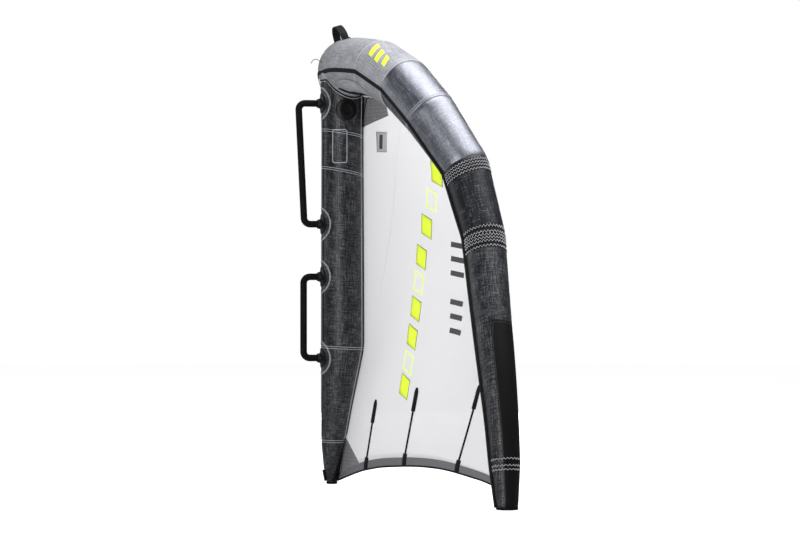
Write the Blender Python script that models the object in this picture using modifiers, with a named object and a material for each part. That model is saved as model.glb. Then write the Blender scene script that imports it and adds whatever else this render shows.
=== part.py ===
"""An inflatable hand-held wing for foil boarding, built as separate pieces.

Metres, +Z up. The wing stands on the end of its strut and on its two tips,
with the leading edge on top. +X points away from the handles, and the wing is
symmetric about Y = 0 apart from its valve and hose. Lengths are real sizes,
and the points of an outline are shares of the sizes that they follow.
"""
import math
from collections import namedtuple

import bmesh
import bpy
from mathutils import Matrix, Vector

# Overall shape
STAND_HEIGHT = 1.8375        # floor to the axis of the leading edge at the middle
HALF_SPAN = 1.360            # middle plane to the axis of the leading edge at a tip
TIP_RISE = 0.392             # how far the leading edge rises towards +X on its way out
LE_RADIUS = 0.125            # leading edge at its thickest
STRUT_RADIUS = 0.0944        # strut at its thickest

# Cloth, film and clearances
GAP = 0.0003                 # between pieces that touch
CLOTH_WALL = 0.0012          # woven casing with its seams
FILM_WALL = 0.0008           # bladder film
CANOPY_THICKNESS = 0.0008
HEM_THICKNESS = 0.0020
HEM_WIDTH = 0.030

# Leading edge: rise, span, drop and radius as shares of the sizes above
LE_STATION_SHARES = (
    (0.066, 0.000, 0.0000, 0.968),
    (0.102, 0.088, 0.0044, 1.000),
    (0.242, 0.243, 0.0196, 0.992),
    (0.406, 0.382, 0.0637, 0.952),
    (0.587, 0.500, 0.1366, 0.904),
    (0.885, 0.592, 0.2563, 0.800),
    (1.000, 0.688, 0.4125, 0.688),
    (0.966, 0.823, 0.6128, 0.608),
    (0.952, 0.887, 0.7048, 0.570),
    (0.946, 0.948, 0.8147, 0.506),
    (0.942, 0.980, 0.9056, 0.460),
    (0.939, 1.000, 0.9952, 0.339),
)
LE_SEAMS = (2, 3, 4, 5, 6, 10, 11)   # stations where one casing panel ends
LE_SIDES = 28
TIP_CAP_THICKNESS = 0.008
TIP_CAP_LIP = 0.002

# Angles round the leading edge, in vertices, from the canopy side towards +X
CANOPY_VERTEX = 4
PAD_FIRST_VERTEX = 5
PAD_LAST_VERTEX = 15
WELT_ANGLE = math.radians(-76)
WELT_WIDTH = 0.016
WELT_THICKNESS = 0.0020
PAD_THICKNESS = 0.0015
PAD_TOP_STATION_SHARE = 6.95
PAD_STATIONS = (8, 9, 10, 11)

# Strut: offset as a share of its radius, drop as a share of the height, radius
STRUT_STATION_SHARES = (
    (0.000, 0.0280, 1.000),
    (0.000, 0.1630, 0.959),
    (0.000, 0.2540, 0.964),
    (0.010, 0.6748, 0.990),
    (-0.117, 0.7374, 0.860),
    (-0.265, 0.8065, 0.721),
    (-0.392, 0.8784, 0.591),
    (-0.434, 0.8980, 0.556),
    (-0.477, 0.9622, 0.392),
    (-0.487, 0.9950, 0.249),
)
STRUT_SEAMS = (2, 3, 7, 9)           # stations where one casing panel ends
STRUT_SIDES = 24
TAIL_CAP_LIP = 0.0015

# Trailing edge: height of its arch over the floor, with span and height shares
ARCH_RISE = 0.1235
ARCH_SHARES = (
    (0.000, 0.120), (0.071, 0.336), (0.154, 0.587), (0.273, 0.798),
    (0.442, 0.951), (0.554, 1.000), (0.663, 0.984), (0.767, 0.879),
    (0.869, 0.765), (0.930, 0.644), (1.000, 0.506),
)
CANOPY_COLUMN_SHARE = 0.5            # a column between the middle two stations
CANOPY_END_SHARE = 10.25             # station where the front edge ends
HEM_END_SHARE = 10.67                # station beside the end of the trailing edge
CANOPY_LEAVE_SHARE = 0.6             # of the tube's radius, along its tangent
CANOPY_ROW_MAX = 0.260
CAMBER_SHARE = 0.05                  # of the chord
CAMBER_FORM_SHARE = 0.75
CAMBER_SPREAD_SHARE = 0.2            # of the span, from the strut's line to full camber
SURFACE_CLEARANCE = 0.0008           # flat strip to the curved cloth under it

# Battens: span share, length, and the sleeve that holds each
BATTEN_SPAN_SHARES = (0.182, 0.417, 0.721)
BATTEN_LENGTHS = (0.305, 0.335, 0.370)
BATTEN_WIDTH = 0.0084
BATTEN_THICKNESS = 0.0018
SLEEVE_WIDTH = 0.014
SLEEVE_WALL = 0.0008
SLEEVE_PATCH_WIDTH = 0.026
SLEEVE_PATCH_LENGTH = 0.070
SLEEVE_POINT_LENGTH = 0.018
BATTEN_INSET = 0.003

# Rigid handles: drop of the two arms as shares of the height, reach of the bar
GRIP_RADIUS = 0.0122
GRIP_BEND = 0.028
BEND_STEPS = 5
FRONT_ARM_SHARES = (0.0909, 0.3793)
FRONT_BAR_REACHES = (0.196, 0.170)
REAR_ARM_SHARES = (0.5050, 0.6988)
REAR_BAR_REACHES = (0.173, 0.173)
BASE_RADIUS = 0.044
BASE_THICKNESS = 0.004
BASE_FLOOR = 0.0015
NECK_HEIGHT = 0.016
NECK_ROOT_RADIUS = 0.022
NECK_TIP_RADIUS = 0.0165

# Inflation valve, on the near side of the strut, heights over the casing
VALVE_DROP = 0.197
FLANGE_RADIUS = 0.048
FLANGE_THICKNESS = 0.0030
BOSS_RADIUS = 0.0300
BOSS_WALL = 0.0057
BOSS_TOP = 0.0090
BOSS_DEPTH = 0.0160
LIP_OVERHANG = 0.0042
LIP_THICKNESS = 0.0020
INSERT_WALL = 0.0035
INSERT_DEPTH = 0.0140
WEB_TOP_DEPTH = 0.0040
WEB_THICKNESS = 0.0020
VENT_COUNT = 6
VENT_RADIUS = 0.0030
STEM_RADIUS = 0.0030
HEAD_RADIUS = 0.0075
HEAD_TOP = 0.0080
HEAD_THICKNESS = 0.0020
SEAL_RADIUS = 0.0168
SEAL_THICKNESS = 0.0024
SPRING_WIRE = 0.0008
SPRING_TURNS = 4
CAP_PLATE = 0.0030
CAP_SKIRT_WALL = 0.0028
CAP_TAB_LENGTH = 0.008
CAP_TAB_WIDTH = 0.014
CAP_TAB_THICKNESS = 0.0026
HINGE_EAR_DROP = 0.0030
TURN_STEPS = 24
VENT_STEPS = 12

# Hose between the two bladders, with its pinch clip
HOSE_RADIUS = 0.009
HOSE_BORE = 0.0062
HOSE_OFFSET = 0.030                  # from the middle plane towards the valve
CLIP_LENGTH = 0.038
CLIP_HEIGHT = 0.010
CLIP_THICKNESS = 0.005
CLIP_PLATE = 0.002
CLIP_MARGIN = 0.0083                 # over and under the clip, to casing and bladder
CLIP_PIN_RADIUS = 0.0018
CLIP_EYE_WALL = 0.0022

# Webbing handle on the front of the leading edge
LOOP_LEAN = math.radians(17)
LOOP_WIDTH = 0.034
LOOP_THICKNESS = 0.003
LOOP_RISE = 0.060
LOOP_FOOT = 0.028
LOOP_HALF_LENGTH = 0.105
LOOP_STEPS = 6

# Leash line at the middle of the leading edge, from its root outwards
LEASH_RADIUS = 0.0016
LEASH_POINTS = (
    (0.0000, 0.0000), (0.0080, 0.0060), (0.0170, 0.0125), (0.0260, 0.0150),
    (0.0350, 0.0130), (0.0425, 0.0060), (0.0480, -0.0040),
)
LEASH_ANGLE = math.radians(-97)

OVERRUN = 0.010                      # how far a cutter runs past what it cuts
LEFT, RIGHT = -1, 1
SIDE_NAMES = {LEFT: "left", RIGHT: "right"}
X_AXIS = Vector((1, 0, 0))
DOWN = Vector((0, 0, -1))

Station = namedtuple("Station", "centre aft up radius")


def clear_scene():
    for item in list(bpy.data.objects):
        bpy.data.objects.remove(item, do_unlink=True)


def make_collection(name):
    collection = bpy.data.collections.new(name)
    bpy.context.scene.collection.children.link(collection)
    return collection


clear_scene()
WING = make_collection("foil_wing")
CUTTERS = make_collection("cutters")
FRAME = bpy.data.objects.new("wing_frame", None)
WING.objects.link(FRAME)


def material(name, color, roughness, metallic=0.0):
    made = bpy.data.materials.new(name)
    made.use_nodes = True
    shader = made.node_tree.nodes["Principled BSDF"]
    shader.inputs["Base Color"].default_value = (*color, 1.0)
    shader.inputs["Roughness"].default_value = roughness
    shader.inputs["Metallic"].default_value = metallic
    return made


PALE_CLOTH = material("pale_casing_cloth", (0.36, 0.37, 0.39), 0.75)
DARK_CLOTH = material("dark_casing_cloth", (0.055, 0.058, 0.075), 0.70)
RIPSTOP = material("white_ripstop", (0.78, 0.78, 0.79), 0.60)
HEM_CLOTH = material("grey_hem_cloth", (0.22, 0.22, 0.23), 0.80)
BLACK_WEB = material("black_webbing", (0.02, 0.02, 0.02), 0.80)
BLACK_RUBBER = material("black_rubber", (0.015, 0.015, 0.016), 0.85)
BLACK_PLASTIC = material("black_plastic", (0.018, 0.018, 0.02), 0.45)
FILM = material("clear_film", (0.60, 0.62, 0.60), 0.30)
GRIP_COAT = material("grip_coating", (0.02, 0.02, 0.022), 0.60)
FIBRE_ROD = material("glass_fibre_rod", (0.10, 0.10, 0.10), 0.50)
STEEL = material("spring_steel", (0.55, 0.55, 0.55), 0.30, 1.0)
LINE = material("leash_line", (0.10, 0.10, 0.11), 0.80)


def add_object(name, mesh, look=None, collection=WING):
    made = bpy.data.objects.new(name, mesh)
    if look:
        mesh.materials.append(look)
    collection.objects.link(made)
    made.parent = FRAME
    if collection is CUTTERS:
        made.hide_render = True
        made.display_type = "WIRE"
    return made


def object_from_bmesh(name, bm, look=None, collection=WING):
    mesh = bpy.data.meshes.new(name)
    bm.to_mesh(mesh)
    bm.free()
    mesh.shade_smooth()
    mesh.set_sharp_from_angle(angle=math.radians(35))
    return add_object(name, mesh, look, collection)


def loft(name, sections, look=None, collection=WING, inside=()):
    """Join sections of equally many points, with the inside's for a shell.

    The quads between unlike sections bend, so they are split the same way on
    every layer. Sections along the leading edge run from left to right for that.
    """
    bm = bmesh.new()
    layers = []
    for layer in (sections, inside):
        layers.append([[bm.verts.new(point) for point in section] for section in layer])
    pairs = [pair for rows in layers for pair in zip(rows, rows[1:])]
    if inside:
        pairs += [(layers[0][0], layers[1][0]), (layers[0][-1], layers[1][-1])]
    for first, second in pairs:
        for index in range(len(first)):
            after = (index + 1) % len(first)
            bm.faces.new((first[index], first[after], second[index]))
            bm.faces.new((first[after], second[after], second[index]))
    if not inside:
        bm.faces.new(layers[0][0])
        bm.faces.new(layers[0][-1])
    bmesh.ops.recalc_face_normals(bm, faces=bm.faces)
    return object_from_bmesh(name, bm, look, collection)


def cut(target, cutter, operation="DIFFERENCE"):
    modifier = target.modifiers.new(operation.lower(), "BOOLEAN")
    modifier.object = cutter
    modifier.operation = operation
    modifier.solver = "EXACT"


def rod_cutter(name, radius, start, end, steps=TURN_STEPS):
    """A cylinder whose flats, not its corners, keep the radius."""
    direction = end - start
    bm = bmesh.new()
    around = radius / math.cos(math.pi / steps)
    turn = direction.to_track_quat("Z", "Y").to_matrix().to_4x4()
    place = Matrix.Translation((start + end) / 2) @ turn
    bmesh.ops.create_cone(bm, cap_ends=True, segments=steps, radius1=around,
                          radius2=around, depth=direction.length, matrix=place)
    return object_from_bmesh(name, bm, collection=CUTTERS)


def box_bmesh(low, high):
    bm = bmesh.new()
    size = high - low
    place = Matrix.Translation((low + high) / 2) @ Matrix.Diagonal((*size, 1))
    bmesh.ops.create_cube(bm, size=1, matrix=place)
    return bm


def turned(name, profile, look, place):
    """Turn a profile of (radius, height) points, the outer side going down."""
    closed = min(radius for radius, height in profile) > 0
    mesh = bpy.data.meshes.new(name)
    edges = [(i, i + 1) for i in range(len(profile) - 1)]
    if closed:
        edges.append((len(profile) - 1, 0))
    mesh.from_pydata([(radius, 0, height) for radius, height in profile], edges, [])
    made = add_object(name, mesh, look)
    made.matrix_local = place
    screw = made.modifiers.new("turn", "SCREW")
    screw.steps = screw.render_steps = TURN_STEPS
    screw.use_merge_vertices = True
    screw.merge_threshold = GAP / 10
    return made


def bent_tube(name, points, radius, look, resolution):
    """A round bar along straight runs, as a curve with filled caps."""
    curve = bpy.data.curves.new(name, "CURVE")
    curve.dimensions = "3D"
    curve.bevel_depth = radius
    curve.bevel_resolution = resolution
    curve.use_fill_caps = True
    spline = curve.splines.new("POLY")
    spline.points.add(len(points) - 1)
    for slot, point in zip(spline.points, points):
        slot.co = (*point, 1)
    made = bpy.data.objects.new(name, curve)
    curve.materials.append(look)
    WING.objects.link(made)
    made.parent = FRAME
    return made


# Leading edge

def le_stations():
    """Centres, frames and radii for y >= 0, from the middle to the tip."""
    lowest = STAND_HEIGHT - TIP_CAP_THICKNESS - GAP
    centres = [Vector((rise * TIP_RISE, span * HALF_SPAN, STAND_HEIGHT * (1 - drop)))
               for rise, span, drop, radius in LE_STATION_SHARES]
    centres[-1].z = STAND_HEIGHT - lowest
    runs = [(b - a).normalized() for a, b in zip(centres, centres[1:])]
    stations = []
    for index, centre in enumerate(centres):
        if index == 0:
            tangent = Vector((0, 1, 0))
        elif index == len(centres) - 1:
            tangent = DOWN.copy()
        else:
            tangent = (runs[index - 1] + runs[index]).normalized()
        up = (X_AXIS - tangent * X_AXIS.dot(tangent)).normalized()
        aft = tangent.cross(up)
        radius = LE_RADIUS * LE_STATION_SHARES[index][3]
        stations.append(Station(centre, aft, up, radius))
    return stations


LE = le_stations()
LAST = len(LE) - 1


def le_point(param, angle, extra, side):
    """A point over the casing, at a fractional station and an angle round it."""
    first = min(int(param), LAST - 1)
    ends = []
    for station in LE[first:first + 2]:
        away = station.aft * math.cos(angle) + station.up * math.sin(angle)
        ends.append(station.centre + away * (station.radius + extra))
    point = ends[0].lerp(ends[1], param - first)
    point.y *= side
    return point


def le_axis(param):
    first = min(int(param), LAST - 1)
    return LE[first].centre.lerp(LE[first + 1].centre, param - first)


def vertex_angle(index):
    return math.tau * index / LE_SIDES


def le_ring(param, extra, side, step):
    return [le_point(param, vertex_angle(i), extra, side) for i in range(0, LE_SIDES, step)]


def seam_shift(param, towards):
    """Half a gap back from a seam, in station units."""
    first = min(int(param + min(towards, 0)), LAST - 1)
    length = (LE[first + 1].centre - LE[first].centre).length
    return param + towards * GAP / 2 / length


def le_rings(first, last, extra, side, step=1):
    """Rings from one seam to the next, half a gap short of both."""
    inner = [float(i) for i in range(first + 1, last)]
    params = [seam_shift(first, 1)] + inner + [seam_shift(last, -1)]
    return [le_ring(param, extra, side, step) for param in params][::side]


def both_sides(last, extra, step=1):
    """Rings from the left seam over the middle to the right seam."""
    params = [float(i) for i in range(1, last)] + [seam_shift(last, -1)]
    left = [le_ring(param, extra, LEFT, step) for param in reversed(params)]
    right = [le_ring(param, extra, RIGHT, step) for param in params]
    return left + [le_ring(0, extra, RIGHT, step)] + right


def make_leading_edge():
    first = LE_SEAMS[0]
    centre = loft("le_panel_centre", both_sides(first, 0), PALE_CLOTH,
                  inside=both_sides(first, -CLOTH_WALL))
    looks = (PALE_CLOTH,) + (DARK_CLOTH,) * (len(LE_SEAMS) - 2)
    for side in (LEFT, RIGHT):
        for index, look in enumerate(looks):
            start, end = LE_SEAMS[index], LE_SEAMS[index + 1]
            loft(f"le_panel_{index + 1}_{SIDE_NAMES[side]}", le_rings(start, end, 0, side),
                 look, inside=le_rings(start, end, -CLOTH_WALL, side))
    return centre


def make_le_bladder():
    """A bladder with half the casing's sides, so that it lies just inside it."""
    outside = -(CLOTH_WALL + GAP)
    inside = outside - FILM_WALL
    bladder = loft("le_bladder", both_sides(LAST, outside, 2), FILM)
    hollow_rings = both_sides(LAST, inside, 2)
    floor = Vector((0, 0, FILM_WALL))
    for rings in (hollow_rings[0], hollow_rings[-1]):
        rings[:] = [point + floor for point in rings]
    cut(bladder, loft("le_bladder_air", hollow_rings, collection=CUTTERS))
    return bladder


def make_tip_caps():
    for side in (LEFT, RIGHT):
        end = LE[LAST]
        bm = bmesh.new()
        radius = end.radius + TIP_CAP_LIP
        middle = Vector((end.centre.x, side * end.centre.y, TIP_CAP_THICKNESS / 2))
        bmesh.ops.create_cone(bm, cap_ends=True, segments=LE_SIDES, radius1=radius,
                              radius2=radius, depth=TIP_CAP_THICKNESS,
                              matrix=Matrix.Translation(middle))
        object_from_bmesh(f"tip_cap_{SIDE_NAMES[side]}", bm, BLACK_RUBBER)


def make_welts():
    """Flat piping along the seam between the front and back of each casing."""
    for side in (LEFT, RIGHT):
        sections = []
        params = [GAP / HALF_SPAN] + [float(i) for i in range(1, LAST)] + [seam_shift(LAST, -1)]
        for param in params:
            radius = LE[min(round(param), LAST)].radius
            half = WELT_WIDTH / 2 / radius
            low = (radius + SURFACE_CLEARANCE) / math.cos(half) - radius
            sections.append([
                le_point(param, WELT_ANGLE - half, low, side),
                le_point(param, WELT_ANGLE + half, low, side),
                le_point(param, WELT_ANGLE + half, low + WELT_THICKNESS, side),
                le_point(param, WELT_ANGLE - half, low + WELT_THICKNESS, side)])
        loft(f"le_welt_{SIDE_NAMES[side]}", sections[::side], BLACK_WEB)


def make_scuff_pads():
    for side in (LEFT, RIGHT):
        sections = []
        for param in (PAD_TOP_STATION_SHARE,) + PAD_STATIONS:
            angles = [vertex_angle(i) for i in range(PAD_FIRST_VERTEX, PAD_LAST_VERTEX + 1)]
            near = [le_point(param, angle, GAP, side) for angle in angles]
            far = [le_point(param, angle, GAP + PAD_THICKNESS, side) for angle in angles]
            sections.append(near + far[::-1])
        loft(f"scuff_pad_{SIDE_NAMES[side]}", sections[::side], BLACK_RUBBER)


# Strut

def bladder_top():
    """Height of the strut bladder's top, with room for the clip over it."""
    room = CLIP_HEIGHT + GAP + CLIP_PLATE + 2 * CLIP_MARGIN
    return STAND_HEIGHT - LE[0].radius - room


def strut_at(height):
    """Axis X and radius of the strut at a height over the floor."""
    rows = [(STAND_HEIGHT * (1 - drop), offset * STRUT_RADIUS, radius * STRUT_RADIUS)
            for offset, drop, radius in STRUT_STATION_SHARES]
    for upper, lower in zip(rows, rows[1:]):
        if height >= lower[0]:
            share = (upper[0] - height) / (upper[0] - lower[0])
            return (upper[1] + (lower[1] - upper[1]) * share,
                    upper[2] + (lower[2] - upper[2]) * share)
    return rows[-1][1], rows[-1][2]


def strut_ring(height, extra, step=1):
    axis, radius = strut_at(height)
    points = []
    for index in range(0, STRUT_SIDES, step):
        angle = math.tau * index / STRUT_SIDES
        points.append(Vector((axis + (radius + extra) * math.cos(angle),
                              (radius + extra) * math.sin(angle), height)))
    return points


def station_height(index):
    return STAND_HEIGHT * (1 - STRUT_STATION_SHARES[index][1])


def strut_heights(first, last):
    inner = [station_height(i) for i in range(first + 1, last)]
    top = station_height(first) - (GAP / 2 if first else 0)
    return [top] + inner + [station_height(last) + GAP / 2]


def strut_solid(name, extra, first=0, last=len(STRUT_STATION_SHARES) - 1):
    rings = [strut_ring(height, extra) for height in strut_heights(first, last)]
    return loft(name, rings, collection=CUTTERS)


def make_strut(le_envelope):
    starts = (0,) + STRUT_SEAMS[:-1]
    panels = []
    for index, (first, last) in enumerate(zip(starts, STRUT_SEAMS)):
        heights = strut_heights(first, last)
        panels.append(loft(f"strut_panel_{index + 1}", [strut_ring(h, 0) for h in heights],
                           DARK_CLOTH, inside=[strut_ring(h, -CLOTH_WALL) for h in heights]))
    cut(panels[0], le_envelope)
    return panels


def make_strut_bladder():
    last = STRUT_SEAMS[-1]
    heights = [bladder_top()] + [station_height(i) for i in range(1, last)]
    heights.append(station_height(last) + TAIL_CAP_LIP)
    outside = -(CLOTH_WALL + GAP)
    bladder = loft("strut_bladder", [strut_ring(h, outside, 2) for h in heights], FILM)
    heights[0] -= FILM_WALL
    heights[-1] += FILM_WALL
    air = loft("strut_bladder_air", [strut_ring(h, outside - FILM_WALL, 2) for h in heights],
               collection=CUTTERS)
    cut(bladder, air)
    return bladder


def make_tail_cap():
    """The closed end of the strut, which stands on the floor."""
    low = station_height(STRUT_SEAMS[-1]) - GAP / 2
    outline = [strut_ring(low, extra) for extra in (-TAIL_CAP_LIP, TAIL_CAP_LIP)]
    bottom = [Vector((point.x, point.y, 0)) for point in outline[0]]
    rim = [Vector((point.x, point.y, low / 2)) for point in outline[1]]
    loft("strut_tail_cap", [outline[1], rim, bottom], BLACK_RUBBER)


# Canopy

def arch_height(share):
    for (s0, h0), (s1, h1) in zip(ARCH_SHARES, ARCH_SHARES[1:]):
        if share <= s1:
            return ARCH_RISE * (h0 + (h1 - h0) * (share - s0) / (s1 - s0))
    return ARCH_RISE * ARCH_SHARES[-1][1]


def attach_point(param):
    return le_point(param, vertex_angle(CANOPY_VERTEX), GAP, RIGHT)


def leave_point(param):
    """Where the cloth, straight along the tube's tangent, is clear of it."""
    tangent = le_point(param, vertex_angle(CANOPY_VERTEX) - math.pi / 2, 0, RIGHT)
    return attach_point(param) + (tangent - le_axis(param)) * CANOPY_LEAVE_SHARE


def param_at_span(distance):
    """The station parameter where the cloth leaves the tube at a span."""
    low, high = 0.0, float(LAST)
    for _ in range(40):
        middle = (low + high) / 2
        if leave_point(middle).y < distance:
            low = middle
        else:
            high = middle
    return (low + high) / 2


def canopy_params():
    reach = leave_point(CANOPY_END_SHARE).y
    params = {float(i) for i in range(int(CANOPY_END_SHARE) + 1)}
    params |= {param_at_span(share * reach) for share in BATTEN_SPAN_SHARES}
    params |= {CANOPY_COLUMN_SHARE, CANOPY_END_SHARE}
    return sorted(params), reach


def behind_strut(height):
    axis, radius = strut_at(height)
    return axis + radius + GAP


def row_heights(top, bottom):
    """Heights of the rows at the middle, one at each bend of the strut."""
    heights = [top]
    bends = [station_height(i) for i in range(1, len(STRUT_STATION_SHARES))]
    for height in [bend for bend in bends if bend > bottom + HEM_WIDTH / 2] + [bottom]:
        while heights[-1] - height > CANOPY_ROW_MAX:
            heights.append(heights[-1] - CANOPY_ROW_MAX)
        heights.append(height)
    return heights


def canopy_grid():
    """Columns of points from the front edge to the trailing edge, for y >= 0."""
    params, reach = canopy_params()
    tip = leave_point(HEM_END_SHARE)
    top, tail = leave_point(0.0), arch_height(0)
    heights = row_heights(top.z, tail + HEM_WIDTH)
    chord = heights[0] - heights[-1]
    start, end_x = behind_strut(heights[0]), behind_strut(tail)
    grid = []
    for param in params:
        leave = leave_point(param)
        share = leave.y / reach
        end = Vector((end_x + (tip.x - end_x) * share, share * tip.y, arch_height(share)))
        width = HEM_WIDTH / (leave - end).length
        hem = end.lerp(leave, min(width, 1 / 2))
        spread = min(share / CAMBER_SPREAD_SHARE, 1)
        column = [attach_point(param)]
        for height in heights:
            depth = (heights[0] - height) / chord
            point = leave.lerp(hem, depth)
            strut_bulge = behind_strut(height) - start - (end_x - start) * depth
            camber = CAMBER_SHARE * math.sin(math.pi * depth ** CAMBER_FORM_SHARE)
            bulge = strut_bulge * (1 - spread) + camber * chord * spread
            point.x += bulge * (leave - hem).length / chord
            if point.y < STRUT_RADIUS:
                point.x = max(point.x, behind_strut(point.z))
            column.append(point)
        column.append(end)
        grid.append(column)
    return params, grid


COLUMN_PARAMS, GRID = canopy_grid()


def sheet(name, columns, thickness, side, look):
    """A sheet from columns of points, thickened away from the handles.

    It stops short of the middle plane, so that the two halves clear each other.
    """
    bm = bmesh.new()
    rows = []
    seam = (thickness + GAP) / 2
    for column in columns:
        rows.append([bm.verts.new((p.x, side * max(p.y, seam), p.z)) for p in column])
    for first, second in zip(rows, rows[1:]):
        for a, b, c, d in zip(first, first[1:], second[1:], second):
            bm.faces.new((a, b, c, d))
    bm.faces.ensure_lookup_table()
    bmesh.ops.recalc_face_normals(bm, faces=bm.faces)
    bm.normal_update()
    if sum(face.normal.x * face.calc_area() for face in bm.faces) < 0:
        bmesh.ops.reverse_faces(bm, faces=bm.faces)
    made = object_from_bmesh(name, bm, look)
    thicken = made.modifiers.new("thickness", "SOLIDIFY")
    thicken.thickness = thickness
    thicken.offset = 1
    return made


def make_canopy():
    for side in (LEFT, RIGHT):
        cloth, hem = [], []
        for column in GRID:
            split, end = column[-2:]
            cloth.append(column[:-1])
            hem.append([split + (end - split).normalized() * GAP, end])
        sheet(f"canopy_{SIDE_NAMES[side]}", cloth, CANOPY_THICKNESS, side, RIPSTOP)
        sheet(f"te_band_{SIDE_NAMES[side]}", hem, HEM_THICKNESS, side, HEM_CLOTH)


# Battens

def column_index(share):
    wanted = param_at_span(share * leave_point(CANOPY_END_SHARE).y)
    return min(range(len(COLUMN_PARAMS)), key=lambda i: abs(COLUMN_PARAMS[i] - wanted))


def along_column(column, distance):
    """A point and the chord direction at a distance up from the trailing edge."""
    for lower, upper in zip(column[::-1], column[-2::-1]):
        run = upper - lower
        if distance <= run.length:
            return lower + run.normalized() * distance, run.normalized()
        distance -= run.length
    return column[0].copy(), (column[0] - column[1]).normalized()


def row_distances(column, length):
    """How far up from the trailing edge the rows of a column lie."""
    distances = [0]
    for lower, upper in zip(column[::-1], column[-2::-1]):
        distances.append(distances[-1] + (upper - lower).length)
    return [distance for distance in distances if distance < length]


def strip_section(index, distance, width, low, high, side):
    """A section that bends with the cloth, between two heights off it."""
    point, forward = along_column(GRID[index], distance)
    edges = [along_column(GRID[index + step], distance)[0] - point for step in (-1, 1)]
    ends = [point + (edge - forward * edge.dot(forward)).normalized() * width / 2
            for edge in edges]
    off = (ends[1] - ends[0]).normalized().cross(forward)
    if off.x > 0:
        off.negate()
    flip = Vector((1, side, 1))
    across = (ends[0], point, ends[1])
    return ([(spot + off * low) * flip for spot in across]
            + [(spot + off * high) * flip for spot in across[::-1]])


def strip(index, outline, low, high, side):
    """Sections along a column, through the outline's points and the cloth's rows."""
    start, end = outline[0][0], outline[-1][0]
    rows = [at for at in row_distances(GRID[index], end) if at > start]
    stops = sorted(set(rows) | {at for at, width in outline})
    sections = []
    for stop in stops:
        for (a, wide), (b, after) in zip(outline, outline[1:]):
            if a <= stop <= b:
                width = wide + (after - wide) * (stop - a) / (b - a)
        sections.append(strip_section(index, stop, width, low, high, side))
    return sections


def make_battens():
    bore = BATTEN_THICKNESS + 2 * GAP
    hollow = BATTEN_WIDTH + 2 * GAP
    inner = SURFACE_CLEARANCE + SLEEVE_WALL
    for side in (LEFT, RIGHT):
        for number, (share, length) in enumerate(zip(BATTEN_SPAN_SHARES, BATTEN_LENGTHS), 1):
            index = column_index(share)
            shoulder = length - SLEEVE_PATCH_LENGTH
            outline = (
                (0, SLEEVE_PATCH_WIDTH), (SLEEVE_PATCH_LENGTH * 3 / 4, SLEEVE_PATCH_WIDTH),
                (SLEEVE_PATCH_LENGTH, SLEEVE_WIDTH), (shoulder, SLEEVE_WIDTH),
                (shoulder + SLEEVE_POINT_LENGTH / 2, SLEEVE_PATCH_WIDTH),
                (length - SLEEVE_POINT_LENGTH, SLEEVE_PATCH_WIDTH),
                (length, SLEEVE_WIDTH * 3 / 4))
            outer = strip(index, outline, SURFACE_CLEARANCE, inner + bore + SLEEVE_WALL, side)
            channel = [(at, hollow) for at, width in outline]
            tag = f"{number}_{SIDE_NAMES[side]}"
            loft(f"batten_sleeve_{tag}", outer, BLACK_WEB,
                 inside=strip(index, channel, inner, inner + bore, side))
            run = ((BATTEN_INSET, BATTEN_WIDTH), (length - BATTEN_INSET, BATTEN_WIDTH))
            loft(f"batten_{tag}", strip(index, run, inner + GAP, inner + GAP + BATTEN_THICKNESS,
                                        side), FIBRE_ROD)


# Rigid handles

def rounded_path(corners, radius):
    """Points along straight runs joined by arcs of one radius."""
    points = [corners[0]]
    for before, corner, after in zip(corners, corners[1:], corners[2:]):
        incoming = (before - corner).normalized()
        outgoing = (after - corner).normalized()
        half = incoming.angle(outgoing) / 2
        reach = radius / math.tan(half)
        centre = corner + (incoming + outgoing).normalized() * radius / math.sin(half)
        start = corner + incoming * reach - centre
        end = corner + outgoing * reach - centre
        for step in range(BEND_STEPS + 1):
            points.append(centre + start.slerp(end, step / BEND_STEPS) * radius)
    points.append(corners[-1])
    return points


def socket_floor(height):
    """X of the closed end of a socket, over the strut's surface there."""
    axis, radius = strut_at(height)
    return axis - radius - GAP - BASE_FLOOR


def make_handle(name, shares, reaches):
    heights = [STAND_HEIGHT * (1 - share) for share in shares]
    ends = [Vector((socket_floor(height) - GAP, 0, height)) for height in heights]
    corners = [Vector((-reach, 0, height)) for reach, height in zip(reaches, heights)]
    path = rounded_path([ends[0], corners[0], corners[1], ends[1]], GRIP_BEND)
    bent_tube(name, path, GRIP_RADIUS, GRIP_COAT, 3)


def make_handle_base(name, share, saddle, strut_skin):
    """A pad that fits the strut, with a short neck that takes the arm."""
    height = STAND_HEIGHT * (1 - share)
    axis, radius = strut_at(height)
    surface = axis - radius
    face = surface - GAP - BASE_THICKNESS
    bm = bmesh.new()
    turn = Matrix.Rotation(math.radians(-90), 4, "Y")
    deep = radius + OVERRUN
    place = Matrix.Translation((surface + deep / 2 - OVERRUN, 0, height)) @ turn
    bmesh.ops.create_cone(bm, cap_ends=True, segments=TURN_STEPS, radius1=BASE_RADIUS,
                          radius2=BASE_RADIUS, depth=deep, matrix=place)
    base = object_from_bmesh(name, bm, BLACK_PLASTIC)
    cut(base, saddle, "INTERSECT")
    bm = bmesh.new()
    buried = BASE_THICKNESS / 2
    place = Matrix.Translation((face - NECK_HEIGHT / 2 + buried / 2, 0, height)) @ turn
    bmesh.ops.create_cone(bm, cap_ends=True, segments=TURN_STEPS, radius1=NECK_ROOT_RADIUS,
                          radius2=NECK_TIP_RADIUS, depth=NECK_HEIGHT + buried, matrix=place)
    cut(base, object_from_bmesh(name + "_neck", bm, collection=CUTTERS), "UNION")
    cut(base, strut_skin)
    bore = rod_cutter(name + "_bore", GRIP_RADIUS + GAP, Vector((socket_floor(height), 0, height)),
                      Vector((face - NECK_HEIGHT - OVERRUN, 0, height)))
    cut(base, bore)


# Valve

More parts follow.
